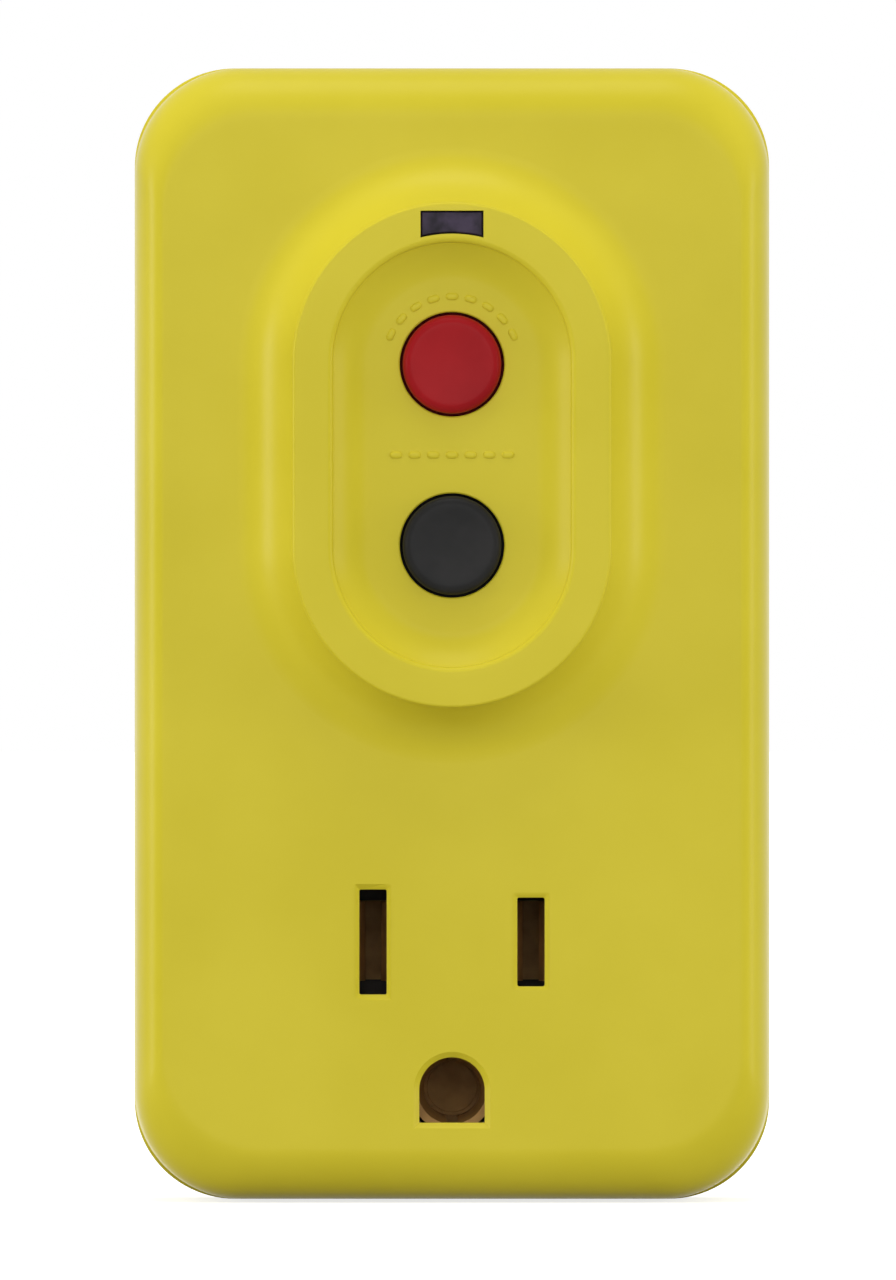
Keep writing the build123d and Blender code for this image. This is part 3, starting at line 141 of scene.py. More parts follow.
def draw_out(x, z, height, levels):
    """Extrudes the open face from level to level, each a height and its shares of the first size."""
    last_x = last_z = 1.0
    for level, share_x, share_z in levels:
        bpy.ops.mesh.extrude_region_move(
            TRANSFORM_OT_translate={"value": (0, (height - level) * MM, 0)}
        )
        bpy.ops.transform.resize(
            value=(share_x / last_x, 1, share_z / last_z),
            center_override=(x * MM, -level * MM, z * MM),
        )
        height, last_x, last_z = level, share_x, share_z


def close_edit():
    """Turns every face of the open piece outwards and goes back to object mode."""
    bpy.ops.mesh.select_all(action="SELECT")
    bpy.ops.mesh.remove_doubles(threshold=WELD * MM)
    bpy.ops.mesh.normals_make_consistent(inside=False)
    bpy.ops.object.mode_set(mode="OBJECT")


def turned(name, x, z, outline, sides=64):
    """A round solid that stands out from the wall, from an outline of heights and radii."""
    (height, radius), *rest = outline
    solid = start(
        name, bpy.ops.mesh.primitive_circle_add, vertices=sides, radius=radius * MM, fill_type="NGON",
        location=(x * MM, -height * MM, z * MM), rotation=(math.pi / 2, 0, 0),
    )
    draw_out(x, z, height, [(level, wide / radius, wide / radius) for level, wide in rest])
    close_edit()
    return solid


def oblong(name, x, z, outline, corner=0.0, segments=1):
    """An oblong solid that stands out from the wall, from an outline of heights, widths and lengths.

    corner rounds the four corners of the first width and length, and grows and shrinks with them.
    """
    (height, width, length), *rest = outline
    middle = (x * MM, -height * MM, z * MM)
    solid = start(
        name, bpy.ops.mesh.primitive_plane_add, size=MM, location=middle, rotation=(math.pi / 2, 0, 0)
    )
    bpy.ops.transform.resize(value=(width, 1, length), center_override=middle)
    if corner:
        bpy.ops.mesh.bevel(offset=corner * MM, segments=segments, affect="VERTICES")
        bpy.ops.mesh.remove_doubles(threshold=WELD * MM)
    draw_out(x, z, height, [(level, wide / width, long / length) for level, wide, long in rest])
    close_edit()
    return solid


def combine(piece, operation, tool):
    """Joins the tool to the piece or cuts it from the piece, and removes the tool."""
    step = piece.modifiers.new(operation, "BOOLEAN")
    step.operation, step.object, step.solver = operation, tool, "EXACT"
    bpy.context.view_layer.objects.active = piece
    bpy.ops.object.modifier_apply(modifier=step.name)
    bpy.data.objects.remove(tool)


def join(pieces):
    """Joins pieces that stand apart into the first of them."""
    bpy.ops.object.select_all(action="DESELECT")
    for piece in pieces:
        piece.select_set(True)
    bpy.context.view_layer.objects.active = pieces[0]
    bpy.ops.object.join()
    return pieces[0]


def quarter(steps):
    """Rise and inset of a quarter circle, as shares of its radius, from its upright foot."""
    turns = [math.pi / 2 * i / steps for i in range(steps + 1)]
    return [(math.sin(turn), 1 - math.cos(turn)) for turn in turns]


def smooth(piece, material, degrees=35):
    """Shades the piece smooth up to an angle, keeps its flat faces flat, and gives it its material."""
    bpy.ops.object.select_all(action="DESELECT")
    bpy.context.view_layer.objects.active = piece
    piece.select_set(True)
    bpy.ops.object.shade_smooth_by_angle(angle=math.radians(degrees))
    weighted = piece.modifiers.new("weighted", "WEIGHTED_NORMAL")
    weighted.keep_sharp = True
    bpy.ops.object.modifier_apply(modifier=weighted.name)
    piece.data.materials.clear()
    piece.data.materials.append(material)


# Moulded ABS is satin. Its grain is that of an eroded mould, drawn at 0.35 mm so that it just shows
# where a highlight rolls over an edge, and its colour drifts a little along the flow of the melt.
yellow_abs = surface(
    "moulded_yellow_ABS", "#D3C434", "#CEBF2E", 14, 0.35, 0.35, 0.008,
    **{"IOR": 1.5, "Specular IOR Level": 0.1},
)

outline = [
    (
        REAR_EDGE * inset,
        BODY_WIDTH - 2 * REAR_EDGE * (1 - rise), BODY_HEIGHT - 2 * REAR_EDGE * (1 - rise),
    )
    for rise, inset in quarter(8)
]
outline += [
    (REAR_DEPTH - JOINT_BREAK, BODY_WIDTH, BODY_HEIGHT),
    (REAR_DEPTH, BODY_WIDTH - 2 * JOINT_BREAK, BODY_HEIGHT - 2 * JOINT_BREAK),
]
rear_shell = oblong("rear_shell", 0, BODY_MIDDLE_Z, outline, BODY_CORNER - REAR_EDGE, CORNER_STEPS)
inner_size = (BODY_WIDTH - 2 * WALL, BODY_HEIGHT - 2 * WALL)
hollow = oblong(
    "hollow", 0, BODY_MIDDLE_Z, [(REAR_WALL, *inner_size), (REAR_DEPTH + OVERRUN, *inner_size)],
    INNER_CORNER, INNER_STEPS,
)
# The bosses are taken out of the hollow, so that they stay when it is cut from the cover.
boss = [(REAR_WALL / 2, BOSS), (REAR_DEPTH - OVERRUN, BOSS)]
combine(hollow, "DIFFERENCE", join([turned("boss", x, z, boss) for x, z in SCREW_PLACES]))
combine(rear_shell, "DIFFERENCE", hollow)
well = [(-OVERRUN, WELL + WELL_LIP), (0, WELL + WELL_LIP)]
# The lip rolls inwards, so the rise and the inset of the quarter circle change places.
well += [(WELL_LIP * rise, WELL + WELL_LIP * (1 - inset)) for inset, rise in quarter(4)[1:]]
well += [(WELL_DEPTH, WELL), (WELL_DEPTH, DRILL), (REAR_DEPTH, DRILL)]
combine(rear_shell, "DIFFERENCE", join([turned("well", x, z, well) for x, z in SCREW_PLACES]))
through = (-OVERRUN, REAR_WALL + OVERRUN)
for x in (-BLADE_X, BLADE_X):
    combine(rear_shell, "DIFFERENCE", oblong("opening", x, 0, [(h, *BLADE_OPENING) for h in through]))
combine(rear_shell, "DIFFERENCE", turned("opening", 0, PIN_Z, [(h, PIN_OPENING) for h in through]))
smooth(rear_shell, yellow_abs)
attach(rear_shell, "housing")
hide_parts("rear_cover")

# Cover screws: four cold-headed steel screws with pan heads, zinc plated, sunk in their wells. Each
# has a cross recess in its head and a coarse thread that cuts into the post of the front cover.
HEAD, HEAD_CROWN, HEAD_CREST, HEAD_SEAT = 2.6, 0.55, 0.8, 2.6
SHANK, SHANK_END, THREAD, THREAD_PITCH = 1.3, 16.6, 0.25, 0.9
POINT = SHANK / 10
RECESS_WIDTH, RECESS_LENGTH, RECESS_DEPTH, RECESS_DRAFT = 0.7, 3.0, 1.0, 0.75


def set_copy(piece, name, x, z, turn=0.0):
    """Sets a copy, with a mesh of its own, at a place on the wall, turned about its own middle."""
    twin = piece.copy()
    twin.data = piece.data.copy()
    bpy.context.collection.objects.link(twin)
    twin.name = twin.data.name = name
    twin.rotation_euler.y, twin.location = turn, (x * MM, 0, z * MM)
    bpy.ops.object.select_all(action="DESELECT")
    bpy.context.view_layer.objects.active = twin
    twin.select_set(True)
    bpy.ops.object.transform_apply(location=True, rotation=True, scale=True)
    return twin


# Zinc plating is bright and slightly blue, with a fine crystal grain that softens what it reflects.
zinc = surface("zinc_plated_steel", "#C9CACB", "#A9ABAD", 2, 0.3, 0.4, 0.004, Metallic=1)
crown_radius = HEAD - HEAD_CROWN
outline = [
    (HEAD_CREST + HEAD_CROWN * inset, crown_radius + HEAD_CROWN * rise) for rise, inset in quarter(6)
]
outline += [(HEAD_SEAT, HEAD), (HEAD_SEAT, SHANK)]
for turn in range(int((SHANK_END - HEAD_SEAT) / THREAD_PITCH) - 1):
    valley = HEAD_SEAT + THREAD_PITCH * (turn + 0.5)
    outline += [(valley, SHANK - THREAD), (valley + THREAD_PITCH / 2, SHANK)]
outline += [(SHANK_END, POINT)]
first_screw = turned("first_screw", 0, 0, outline)
for width, length in ((RECESS_LENGTH, RECESS_WIDTH), (RECESS_WIDTH, RECESS_LENGTH)):
    combine(first_screw, "DIFFERENCE", oblong("recess", 0, 0, [
        (0, width, length), (HEAD_CREST + RECESS_DEPTH, width * RECESS_DRAFT, length * RECESS_DRAFT),
    ]))
smooth(first_screw, zinc)
for number, (x, z) in enumerate(SCREW_PLACES):
    screw = set_copy(first_screw, f"cover_screw_{number + 1}", x, z)
    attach(screw, "housing")
    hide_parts("cover_screws")
bpy.data.objects.remove(first_screw)

# Plug blades: two pieces stamped from brass strip and nickel plated. Each has a bevelled tip, a hole
# near its end and a wide root that the covers hold.
BLADE_THICKNESS, BLADE_WIDTH, BLADE_LENGTH, BLADE_HOLE, BLADE_HOLE_REACH = 1.5, 6.35, 17.3, 1.6, 11.7
# The tip in steps: how far each is from the end, how thick and how wide.
BLADE_TIP = [(0, 0.75, 4.2), (0.1, 0.97, 4.8), (0.5, 1.3, 5.7), (1.1, BLADE_THICKNESS, BLADE_WIDTH)]
ROOT_REAR, ROOT_FRONT, ROOT_WIDTH = 2.45, 7.2, 10.0
BLADE_EDGE, EDGE_STEPS = 0.16, 3


def round_edges(piece, width, degrees):
    """Rounds the edges of a piece at which its faces meet at more than an angle."""
    edge = piece.modifiers.new("edge", "BEVEL")
    edge.width, edge.segments = width * MM, EDGE_STEPS
    edge.limit_method, edge.angle_limit = "ANGLE", math.radians(degrees)
    bpy.context.view_layer.objects.active = piece
    bpy.ops.object.modifier_apply(modifier=edge.name)


# Nickel over rolled strip is bright and warm, with faint lines along the length that rolling left.
nickel = surface(
    "nickel_plated_brass", "#CFC6B0", "#B9AE95", 5, 0.24, 0.5, 0.003, stretch=(4, 0.35, 4), Metallic=1
)
# Brass that has stood open in air goes brown and nearly matt. It lines the sockets behind the face.
tarnished_brass = surface(
    "tarnished_brass", "#CA9C59", "#AB7F46", 3, 0.6, 0.5, 0.004, Metallic=0.3
)
outline = [(reach - BLADE_LENGTH, thickness, width) for reach, thickness, width in BLADE_TIP]
outline += [
    (ROOT_REAR, BLADE_THICKNESS, BLADE_WIDTH), (ROOT_REAR, BLADE_THICKNESS, ROOT_WIDTH),
    (ROOT_FRONT, BLADE_THICKNESS, ROOT_WIDTH),
]
first_blade = oblong("first_blade", 0, 0, outline)
hole = start(
    "hole", bpy.ops.mesh.primitive_circle_add, vertices=48, radius=BLADE_HOLE * MM, fill_type="NGON",
    location=(-BLADE_THICKNESS * MM, BLADE_HOLE_REACH * MM, 0), rotation=(0, math.pi / 2, 0),
)
bpy.ops.mesh.extrude_region_move(TRANSFORM_OT_translate={"value": (2 * BLADE_THICKNESS * MM, 0, 0)})
close_edit()
combine(first_blade, "DIFFERENCE", hole)
round_edges(first_blade, BLADE_EDGE, 40)
smooth(first_blade, nickel)
for node, x in (("neutral_blade", -BLADE_X), ("hot_blade", BLADE_X)):
    blade = set_copy(first_blade, f"{node}_plated", x, 0)
    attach(blade, "housing")
    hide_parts(node)
bpy.data.objects.remove(first_blade)

# Ground pin: turned from brass rod and nickel plated, with a domed end, a flange that the covers
# hold, and a tail that is riveted over inside the ground contact.
PIN, PIN_LENGTH, PIN_DOME, PIN_NECK, NECK_REACH, PIN_FLANGE = 2.375, 20.5, 1.9, 2.2, 0.3, 3.6
PIN_SHANK, PIN_TAIL, TAIL_HEAD = 2.15, 1.5, 2.0
FLANGE_REAR, FLANGE_FRONT, CONTACT_FLOOR, TAIL_END = 2.45, 3.95, 10.95, 11.65
outline = [
    (-PIN_LENGTH + PIN_DOME * inset, PIN - PIN_DOME * (1 - rise)) for rise, inset in quarter(14)
]
outline += [
    (-NECK_REACH, PIN), (-NECK_REACH, PIN_NECK), (FLANGE_REAR, PIN_NECK), (FLANGE_REAR, PIN_FLANGE),
    (FLANGE_FRONT, PIN_FLANGE), (FLANGE_FRONT, PIN_SHANK), (CONTACT_FLOOR, PIN_SHANK),
    (CONTACT_FLOOR, PIN_TAIL), (TAIL_END, TAIL_HEAD),
]
ground = turned("ground_pin_turned", 0, PIN_Z, outline, 96)
smooth(ground, nickel)
# In front of the flange it is as brown as the contact that it is riveted to.
ground.data.materials.append(tarnished_brass)
for face in ground.data.polygons:
    face.material_index = int(face.center.y < -FLANGE_FRONT * MM)
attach(ground, "housing")
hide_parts("ground_pin")

# Works inside the covers: the stamped, turned, wound and moulded parts keep their solids, and each
# takes the finish of its kind.
inner_finishes = {
    "steel": zinc,
    "brass": tarnished_brass,
    # Silver contacts are pale and clean where they close on each other.
    "silver": surface("contact_silver", "#D8D8D4", "#C4C4C0", 2, 0.3, 0.3, 0.003, Metallic=1),
    # Drawn spring wire is grey and fairly bright, with the fine lines of the die.
    "spring_steel": surface(
        "drawn_spring_steel", "#9EA0A3", "#84868A", 2, 0.25, 0.3, 0.003, Metallic=1
    ),
    # Enamelled wire shows as glossy red copper with a rib for each turn.
    "winding": surface(
        "enamelled_copper", "#B5602A", "#8C4318", 2, 0.3, 0.4, 0.03, (1, 1, 8), Metallic=0.8
    ),
    # Ferrite rings are dipped in grey epoxy, which is dull and a little uneven.
    "core_metal": surface("epoxy_coated_ferrite", "#4B4E50", "#3B3D3F", 3, 0.45, 0.5, 0.02),
    # Solder mask is a glossy green lacquer over the glass weave of the board.
    "board": surface("green_solder_mask", "#2E6B42", "#225634", 4, 0.3, 0.6, 0.01),
    # Moulded phenolic is brown and matt, and it is what shows past the contacts in the slots.
    "dark_plastic": surface("moulded_brown_phenolic", "#3E2E20", "#34261A", 6, 0.55, 0.4, 0.01),
    # Moulded nylon is satin, with the bloom that it keeps from the mould.
    "black_plastic": surface("moulded_black_nylon", "#262627", "#1B1B1C", 6, 0.45, 0.4, 0.01),
    "white_plastic": surface("moulded_white_nylon", "#DAD6CB", "#CBC6BA", 6, 0.42, 0.4, 0.01),
    # Dipped epoxy coats are thick, glossy and rounded, with a slight orange peel.
    "ochre_plastic": surface("dipped_ochre_epoxy", "#B8873C", "#A3742E", 4, 0.3, 0.6, 0.02),
    "blue_coating": surface("dipped_blue_epoxy", "#2E5E9E", "#244E88", 4, 0.3, 0.6, 0.02),
    # Extruded insulation is smooth and waxy.
    "white_wire": surface("white_PVC_insulation", "#DDDCD6", "#CFCEC8", 5, 0.38, 0.5, 0.01),
    # The lamp is cast in tinted epoxy, which is clear and glossy.
    "lamp": surface("tinted_clear_epoxy", "#B03226", "#96261C", 3, 0.12, 0.5, 0.002, IOR=1.55),
}
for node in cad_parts.values():
    for holder in node.material_slots:
        if holder.material.name in inner_finishes:
            holder.material = inner_finishes[holder.material.name]

# Springs: four helical springs wound from steel wire. They press the buttons, the plunger and the latch
# plate back. Each gets a mesh of its own; its length is measured from the seat that holds its far end.
for node, body, joint, axis, seat, travel in (
    ("test_spring", "housing", "test_button_press", (0, 1, 0), (0, -26.25, 0), 1.5),
    ("reset_spring", "housing", "reset_button_press", (0, 1, 0), (0, -26.25, 0), 2.2),
    ("plunger_spring", "housing", "plunger_stroke", (0, 0, 1), (0, 0, 23.35), 1.2),
    ("latch_spring", "carriage", "latch_slide", (0, 0, 1), (0, 0, 40.025), 1.2),
):
    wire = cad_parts[node].data.copy()
    wire.transform(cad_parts[node].matrix_world)
    coil = bpy.data.objects.new(f"{node}_coil", wire)
    bpy.context.collection.objects.link(coil)
    smooth(coil, inner_finishes["spring_steel"])
    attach(coil, body)
    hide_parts(node)
    foot = Vector(seat) * MM
    length = max(abs((point.co - foot).dot(Vector(axis))) for point in coil.data.vertices)
    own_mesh(coil)

# Front cover: the deep half of the housing, moulded in the same ABS, with its front edge rolled off
# further at the ends than at the sides, and a raised pad on a hollow skirt with a dish for the buttons.
FACE, INSIDE = 33.0, 30.8
SHOULDER, SIDE_ROLL, END_ROLL, DRAFT = 4.2, 2.3, 4.2, 0.3
PAD_Z, PAD_RADIUS, PAD_STRAIGHT, PAD_RISE = 39.15, 12.8, 15.0, 4.2
SKIRT, SKIRT_HOLLOW, SKIRT_STEPS, SUNK = 4.8, 2.6, 26, 0.003
PAD_BREAK, RIM_BREAK = 0.22, 0.5
DISH_RADIUS, DISH_DEPTH, DISH_SLOPE, DISH_STEPS = 9.53, 2.0, 2.9, 16
PAD_TOP, DISH_FLOOR = FACE + PAD_RISE, FACE + PAD_RISE - DISH_DEPTH
TEST_Z, RESET_Z, BUTTON_HOLE, HOLE_LIP = 46.425, 31.875, 4.2, 0.1
SLOTS = [(-BLADE_X, 8.45), (BLADE_X, 7.15)]
SLOT_WIDTH, SLOT_LIP, SLOT_CORNER, LIP_DEPTH, GROUND_HOLE = 2.2, 0.45, 0.15, 0.8, 2.63
WINDOW_WIDTH, WINDOW_TOP_Z, WINDOW_BOTTOM_Z, WINDOW_RIM = 5.06, 58.75, 55.55, 0.72
POST, POST_DRILL, POST_DRILL_END = 3.1, 1.35, 17.0


def start_obround(name, height, radius, segments=32):
    """A flat upright slot shape with round ends, on the row of buttons, open for editing."""
    middle = (0, -height * MM, PAD_Z * MM)
    piece = start(
        name, bpy.ops.mesh.primitive_plane_add, size=MM, location=middle, rotation=(math.pi / 2, 0, 0)
    )
    bpy.ops.transform.resize(value=(2 * radius, 1, 2 * radius + PAD_STRAIGHT), center_override=middle)
    bpy.ops.mesh.bevel(offset=radius * MM, segments=segments, affect="VERTICES")
    bpy.ops.mesh.remove_doubles(threshold=WELD * MM)
    return piece


def mouth(top, lip):
    """Heights and widenings of a cut whose mouth at the height top is bevelled.

    The bevel is as wide as lip and goes down by the share LIP_DEPTH of that.
    """
    return [(top - LIP_DEPTH * lip, 0), (top, lip), (top + OVERRUN, lip)]


wall_top = FACE - SHOULDER
outline = [
    (REAR_DEPTH, BODY_WIDTH - 2 * JOINT_BREAK, BODY_HEIGHT - 2 * JOINT_BREAK),
    (REAR_DEPTH + JOINT_BREAK, BODY_WIDTH, BODY_HEIGHT),
]
outline += [
    (
        wall_top + SHOULDER * rise,
        BODY_WIDTH - 2 * (DRAFT + SIDE_ROLL * inset), BODY_HEIGHT - 2 * (DRAFT + END_ROLL * inset),
    )
    for rise, inset in quarter(20)
]
front_shell = oblong("front_shell", 0, BODY_MIDDLE_Z, outline, BODY_CORNER - JOINT_BREAK, CORNER_STEPS)

# The pad grows from a flat slot shape by insets: up the skirt, over its top, and down into the dish.
pad = start_obround("pad", FACE - OVERRUN, PAD_RADIUS + SKIRT)
bpy.ops.mesh.extrude_region_move(TRANSFORM_OT_translate={"value": (0, -(OVERRUN - SUNK) * MM, 0)})
skirt_rise = PAD_RISE - PAD_BREAK + SUNK
profile = [
    (FACE - SUNK + skirt_rise * share ** SKIRT_HOLLOW, SKIRT * share)
    for share in (i / SKIRT_STEPS for i in range(SKIRT_STEPS + 1))
]
rim_in = SKIRT + PAD_RADIUS - DISH_RADIUS
profile += [
    (PAD_TOP - PAD_BREAK * (1 - rise), SKIRT + PAD_BREAK * inset) for rise, inset in quarter(4)[1:]
]
profile += [
    (PAD_TOP - RIM_BREAK * inset, rim_in - RIM_BREAK * (1 - rise)) for rise, inset in quarter(6)
]
profile += [
    (DISH_FLOOR + (DISH_DEPTH - RIM_BREAK) * (1 - share) ** 2, rim_in + DISH_SLOPE * share)
    for share in (i / DISH_STEPS for i in range(1, DISH_STEPS + 1))
]
for (height, inset), (next_height, next_inset) in zip(profile, profile[1:]):
    bpy.ops.mesh.inset(thickness=(next_inset - inset) * MM, depth=(next_height - height) * MM)
close_edit()
combine(front_shell, "UNION", pad)

outline = [(REAR_DEPTH - OVERRUN, *inner_size)]
outline += [
    (
        wall_top + (SHOULDER - WALL) * rise,
        inner_size[0] - 2 * (DRAFT + SIDE_ROLL / 2 * inset),
        inner_size[1] - 2 * (DRAFT + END_ROLL / 2 * inset),
    )
    for rise, inset in quarter(8)
]
hollow = oblong("hollow", 0, BODY_MIDDLE_Z, outline, INNER_CORNER, INNER_STEPS)
combine(front_shell, "DIFFERENCE", hollow)
pocket = start_obround("pocket", INSIDE - OVERRUN, PAD_RADIUS - WALL, 16)
pocket_rise = DISH_FLOOR - WALL - INSIDE + OVERRUN
bpy.ops.mesh.extrude_region_move(TRANSFORM_OT_translate={"value": (0, -pocket_rise * MM, 0)})
close_edit()
combine(front_shell, "DIFFERENCE", pocket)
post = [(REAR_DEPTH - OVERRUN, POST), (INSIDE + WALL / 4, POST)]
drill = [(REAR_DEPTH - 2 * OVERRUN, POST_DRILL), (POST_DRILL_END, POST_DRILL)]
combine(front_shell, "UNION", join([turned("post", x, z, post, 48) for x, z in SCREW_PLACES]))
combine(front_shell, "DIFFERENCE", join([turned("drill", x, z, drill, 32) for x, z in SCREW_PLACES]))
for z in (TEST_Z, RESET_Z):
    outline = [(INSIDE, BUTTON_HOLE)]
    outline += [(height, BUTTON_HOLE + more) for height, more in mouth(DISH_FLOOR, HOLE_LIP)]
    combine(front_shell, "DIFFERENCE", turned("button_hole", 0, z, outline, 128))
for x, slot_height in SLOTS:
    outline = [(INSIDE - OVERRUN, SLOT_WIDTH, slot_height)]
    outline += [
        (height, SLOT_WIDTH + 2 * more, slot_height + 2 * more)
        for height, more in mouth(FACE, SLOT_LIP)
    ]
    combine(front_shell, "DIFFERENCE", oblong("slot", x, 0, outline, SLOT_CORNER, 3))

# The ground opening is round above and square below: half a circle, and its open edge drawn down.
ground_hole = start(
    "ground_hole", bpy.ops.mesh.primitive_circle_add, vertices=96, radius=GROUND_HOLE * MM,
    fill_type="NGON", location=(0, -(INSIDE - OVERRUN) * MM, PIN_Z * MM), rotation=(math.pi / 2, 0, 0),
)
bpy.ops.mesh.bisect(plane_co=(0, 0, PIN_Z * MM), plane_no=(0, 0, 1), use_fill=False, clear_inner=True)
bpy.ops.mesh.select_all(action="DESELECT")
halved = bmesh.from_edit_mesh(ground_hole.data)
for edge in halved.edges:
    if all(abs(corner.co.z - PIN_Z * MM) < 10 * WELD * MM for corner in edge.verts):
        edge.select_set(True)
bmesh.update_edit_mesh(ground_hole.data)
bpy.ops.mesh.extrude_region_move(TRANSFORM_OT_translate={"value": (0, 0, -GROUND_HOLE * MM)})
bpy.ops.mesh.select_all(action="SELECT")
bpy.ops.mesh.dissolve_faces()
draw_out(0, PIN_Z, INSIDE - OVERRUN, [
    (height, *[1 + more / GROUND_HOLE] * 2) for height, more in mouth(FACE, SLOT_LIP)
])
close_edit()
combine(front_shell, "DIFFERENCE", ground_hole)


def window_block(name, bottom, top, width, top_z, rim):
    """A block of the window's shape: square above, hollowed below along the rim of the dish."""
    size = (width, top_z - WINDOW_BOTTOM_Z)
    block = oblong(name, 0, (top_z + WINDOW_BOTTOM_Z) / 2, [(bottom, *size), (top, *size)])
    arc = start_obround("arc", bottom - OVERRUN, DISH_RADIUS + rim, 64)
    bpy.ops.mesh.extrude_region_move(
        TRANSFORM_OT_translate={"value": (0, -(top - bottom + 2 * OVERRUN) * MM, 0)}
    )
    close_edit()
    combine(block, "DIFFERENCE", arc)
    return block


combine(front_shell, "DIFFERENCE", window_block(
    "opening", INSIDE - OVERRUN, PAD_TOP + OVERRUN, WINDOW_WIDTH, WINDOW_TOP_Z, WINDOW_RIM
))
smooth(front_shell, yellow_abs)
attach(front_shell, "housing")
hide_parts("front_cover")

# Marks by the buttons: plain raised studs, moulded on the floor of the dish, in an arc over the red
# button and in a row between the two.
STUD_RISE, STUD_WIDTH, STUD_LENGTH, STUD_FOOT, STUD_CORNER = 0.14, 0.62, 1.05, 0.1, 0.49
# A stud's rounding in steps, as shares of its rise, its length and its width.
STUD_ROUND = [(0.3, 0.96, 0.93), (0.8, 0.84, 0.72), (1, 0.62, 0.36)]
ARC_RADIUS, ARC_STEP, ARC_STUDS, ROW_STEP, ROW_STUDS = 5.45, math.radians(16), 9, 1.5, 7
outline = [(DISH_FLOOR - STUD_FOOT, STUD_LENGTH, STUD_WIDTH)]
outline += [
    (DISH_FLOOR + STUD_RISE * rise, STUD_LENGTH * long, STUD_WIDTH * wide)
    for rise, long, wide in STUD_ROUND
]
first_stud = oblong("first_stud", 0, 0, outline, STUD_WIDTH * STUD_CORNER, 6)
arc_turns = [ARC_STEP * (i - (ARC_STUDS - 1) / 2) for i in range(ARC_STUDS)]
stud_places = [(ARC_RADIUS * math.sin(t), TEST_Z + ARC_RADIUS * math.cos(t), t) for t in arc_turns]
stud_places += [(ROW_STEP * (i - (ROW_STUDS - 1) / 2), PAD_Z, 0.0) for i in range(ROW_STUDS)]
studs = [set_copy(first_stud, "dish_studs", *place) for place in stud_places]
bpy.data.objects.remove(first_stud)
join(studs).name = "dish_studs"
smooth(studs[0], yellow_abs, 60)
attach(studs[0], "housing")

# Window: a smoked acrylic block over the lamp, moulded with polished faces. It is held from behind by
# its flange and lies just under the rim of the pad.
WINDOW_SINK, WINDOW_ROOM, WINDOW_PLAY, WINDOW_EDGE = 0.2, 0.08, 0.05, 0.12
WINDOW_FLANGE, FLANGE_WIDTH, FLANGE_LENGTH, FLANGE_Z = 1.2, 6.5, 3.5, 57.7
# Smoked acrylic is glossy and nearly black; its patches of paler violet are painted reflection, spread
# at random over the lens.
smoked_acrylic_painted_reflection = surface(
    "smoked_acrylic_painted_reflection", "#3E3347", "#020103", 1.7, 0.12, 0.8, 0.001,
    **{"IOR": 1.49, "Specular IOR Level": 0.06},
)
behind = INSIDE - WINDOW_PLAY
window = window_block(
    "window_smoked", behind, PAD_TOP - WINDOW_SINK, WINDOW_WIDTH - 2 * WINDOW_ROOM,
    WINDOW_TOP_Z - WINDOW_ROOM, WINDOW_RIM + WINDOW_ROOM,
)
combine(window, "UNION", oblong("flange", 0, FLANGE_Z, [
    (height, FLANGE_WIDTH, FLANGE_LENGTH) for height in (behind - WINDOW_FLANGE, behind)
]))
round_edges(window, WINDOW_EDGE, 50)
smooth(window, smoked_acrylic_painted_reflection)
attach(window, "housing")
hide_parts("indicator_lens")

# Buttons: two round caps on flanges and stems, moulded in red and in black ABS. Each stands a little
# out of its hole, with a rounded edge and a face that is very slightly dished for the fingertip.
CAP, CAP_EDGE, CAP_TOP, CAP_DISH = 3.97, 0.75, DISH_FLOOR + 1.0, 0.11
STEM, STEM_TIP, NECK, NECK_FOOT = 1.5, 0.75, 2.3, 28.7
FLANGE, FLANGE_TOP, FLANGE_FOOT = 5.0, 31.6, 30.3
# Both caps are polished a little more than the housing, so their rounded edges catch the light.
red_abs = surface(
    "moulded_red_ABS", "#A01A1F", "#94161B", 5, 0.36, 0.3, 0.006,
    **{"IOR": 1.5, "Specular IOR Level": 0.06},
)
black_abs = surface(
    "moulded_black_ABS", "#2D2C2C", "#242424", 5, 0.38, 0.3, 0.006,
    **{"IOR": 1.5, "Specular IOR Level": 0.06},
)
for node, z, tip, finish, body, slot in (
    ("test_button", TEST_Z, 16.6, red_abs, "test_push", "red_button"),
    ("reset_button", RESET_Z, 18.0, black_abs, "reset_push", "black_button"),
):
    outline = [(tip, STEM_TIP), (tip + STEM_TIP, STEM), (NECK_FOOT, STEM), (NECK_FOOT, NECK)]
    outline += [(FLANGE_FOOT, NECK), (FLANGE_FOOT, FLANGE), (FLANGE_TOP, FLANGE), (FLANGE_TOP, CAP)]
    outline += [
        (CAP_TOP - CAP_EDGE * (1 - rise), CAP - CAP_EDGE * inset) for rise, inset in quarter(10)
    ]
    outline += [
        (CAP_TOP - CAP_DISH * (1 - share ** 2), (CAP - CAP_EDGE) * share)
        for share in (0.9, 0.7, 0.5, 0.3, 0.1)
    ]
    cap = turned(f"{node}_cap", 0, z, outline, 96)
    smooth(cap, finish)
    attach(cap, body)
    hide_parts(node)


# Stage: a pale floor that the adapter stands on, soft lamps in front, above and at both sides, and a
# camera square to its front, far enough off that the sides don't show.
def in_view(holder):
    """1 for rays from the camera, or by way of a mirror or clear plastic, and 0 for all others."""
    path = add(holder, "ShaderNodeLightPath").outputs
    direct = add(
        holder, "ShaderNodeMath", {0: path["Is Camera Ray"], 1: path["Is Glossy Ray"]},
        operation="MAXIMUM",
    ).outputs[0]
    return add(
        holder, "ShaderNodeMath", {0: direct, 1: path["Is Transmission Ray"]}, operation="MAXIMUM"
    ).outputs[0]


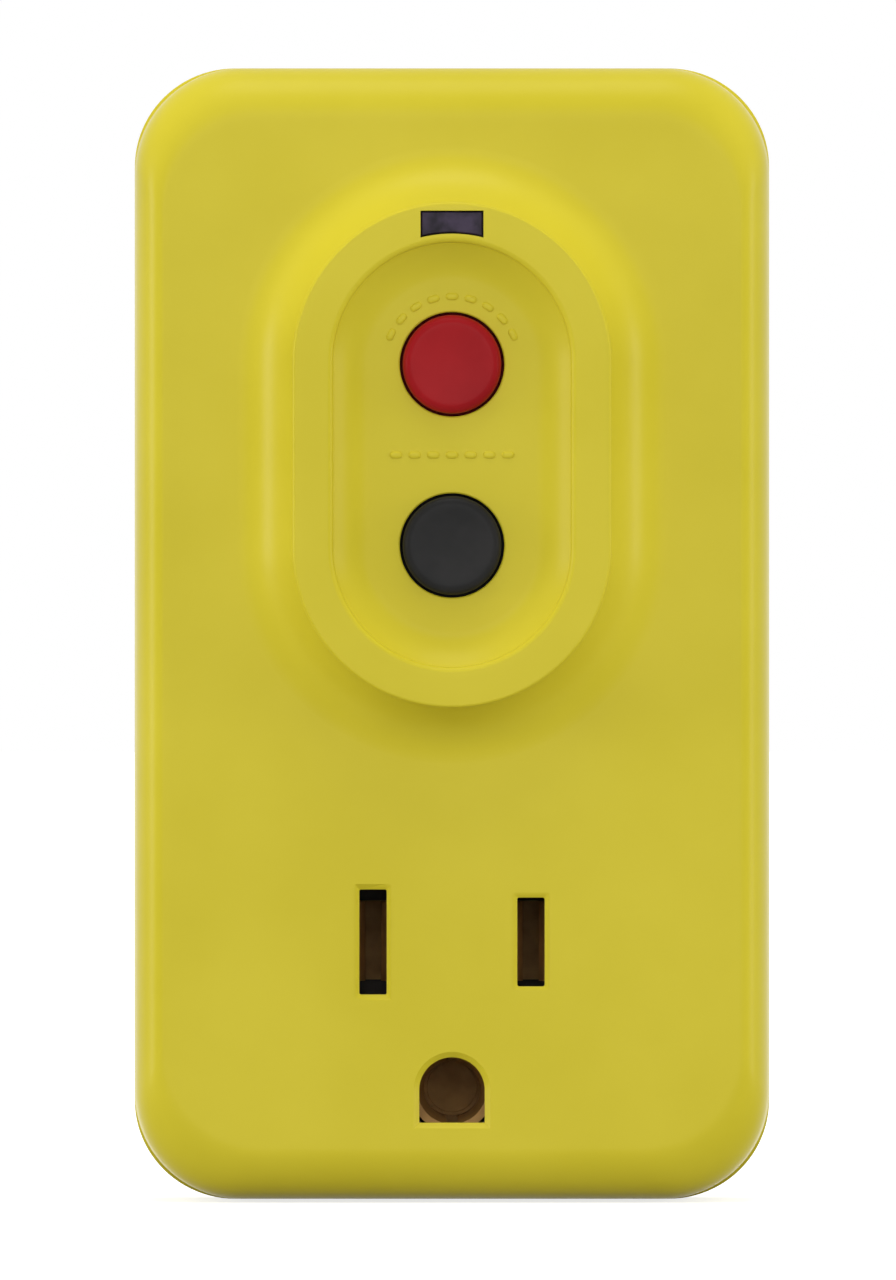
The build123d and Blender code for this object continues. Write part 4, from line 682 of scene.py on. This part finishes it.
# Paper is matt and even: as white as the page to the camera, and a duller grey in the light that it
# throws back on the adapter.
FLOOR_SIZE, FLOOR_GLOW, FILL, PAGE = 24, 0.75, 0.6, 1.0
paper = bpy.data.materials.new("matt_white_paper")
paper.use_nodes = True
paper.node_tree.nodes.clear()
pale = add(paper, "ShaderNodeBsdfDiffuse", {"Color": linear("#D9D9D7")}).outputs[0]
glow = add(paper, "ShaderNodeEmission", {"Strength": FLOOR_GLOW}).outputs[0]
bright = add(paper, "ShaderNodeAddShader", {0: pale, 1: glow}).outputs[0]
dull = add(paper, "ShaderNodeBsdfDiffuse", {"Color": linear("#A8A8A6")}).outputs[0]
lit = add(paper, "ShaderNodeMixShader", {0: in_view(paper), 1: dull, 2: bright}).outputs[0]
add(paper, "ShaderNodeOutputMaterial", {"Surface": lit})
bpy.ops.object.select_all(action="DESELECT")
bpy.ops.mesh.primitive_plane_add(size=FLOOR_SIZE, location=(0, 0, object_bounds()[0].z))
floor = bpy.context.object
floor.name = "floor"
floor.data.materials.append(paper)

studio = bpy.data.worlds.new("studio")
bpy.context.scene.world = studio
studio.use_nodes = True
studio.node_tree.nodes.clear()
soft = add(studio, "ShaderNodeBackground", {"Color": (1, 1, 1, 1), "Strength": FILL}).outputs[0]
white = add(studio, "ShaderNodeBackground", {"Color": (1, 1, 1, 1), "Strength": PAGE}).outputs[0]
shown = add(studio, "ShaderNodeMixShader", {0: in_view(studio), 1: soft, 2: white}).outputs[0]
add(studio, "ShaderNodeOutputWorld", {"Surface": shown})

target = Vector((0, -FACE * MM, BODY_MIDDLE_Z * MM))
for name, place, size, power in (
    ("front_lamp", (0, -1.3, 0.1), 0.9, 7.6), ("top_lamp", (0, -0.2, 1.0), 0.6, 3.4),
    ("left_lamp", (-1.0, -0.15, 0.05), 0.4, 4.7), ("right_lamp", (1.0, -0.15, 0.05), 0.4, 3.6),
):
    light = bpy.data.lights.new(name, "AREA")
    light.shape, light.size, light.energy = "DISK", size, power
    lamp = bpy.data.objects.new(name, light)
    bpy.context.scene.collection.objects.link(lamp)
    lamp.location = place
    lamp.rotation_euler = (target - Vector(place)).to_track_quat("-Z", "Y").to_euler()
    lamp.visible_camera = False

# The lens draws the plane of the face at the photo's scale, from the middle of its frame.
DISTANCE, PIXELS_PER_MM, FRAME_HEIGHT, CENTRE_X, CENTRE_Z = 3.0, 12.44, 1280, -0.32, 24.28
view = bpy.data.cameras.new("camera")
camera = bpy.data.objects.new("camera", view)
bpy.context.scene.collection.objects.link(camera)
camera.location = (CENTRE_X * MM, -DISTANCE - FACE * MM, CENTRE_Z * MM)
camera.rotation_euler = (math.pi / 2, 0, 0)
view.sensor_width = 36
view.lens = view.sensor_width * DISTANCE / (FRAME_HEIGHT / PIXELS_PER_MM * MM)
bpy.context.scene.camera = camera
bpy.context.scene.view_settings.view_transform = "Standard"
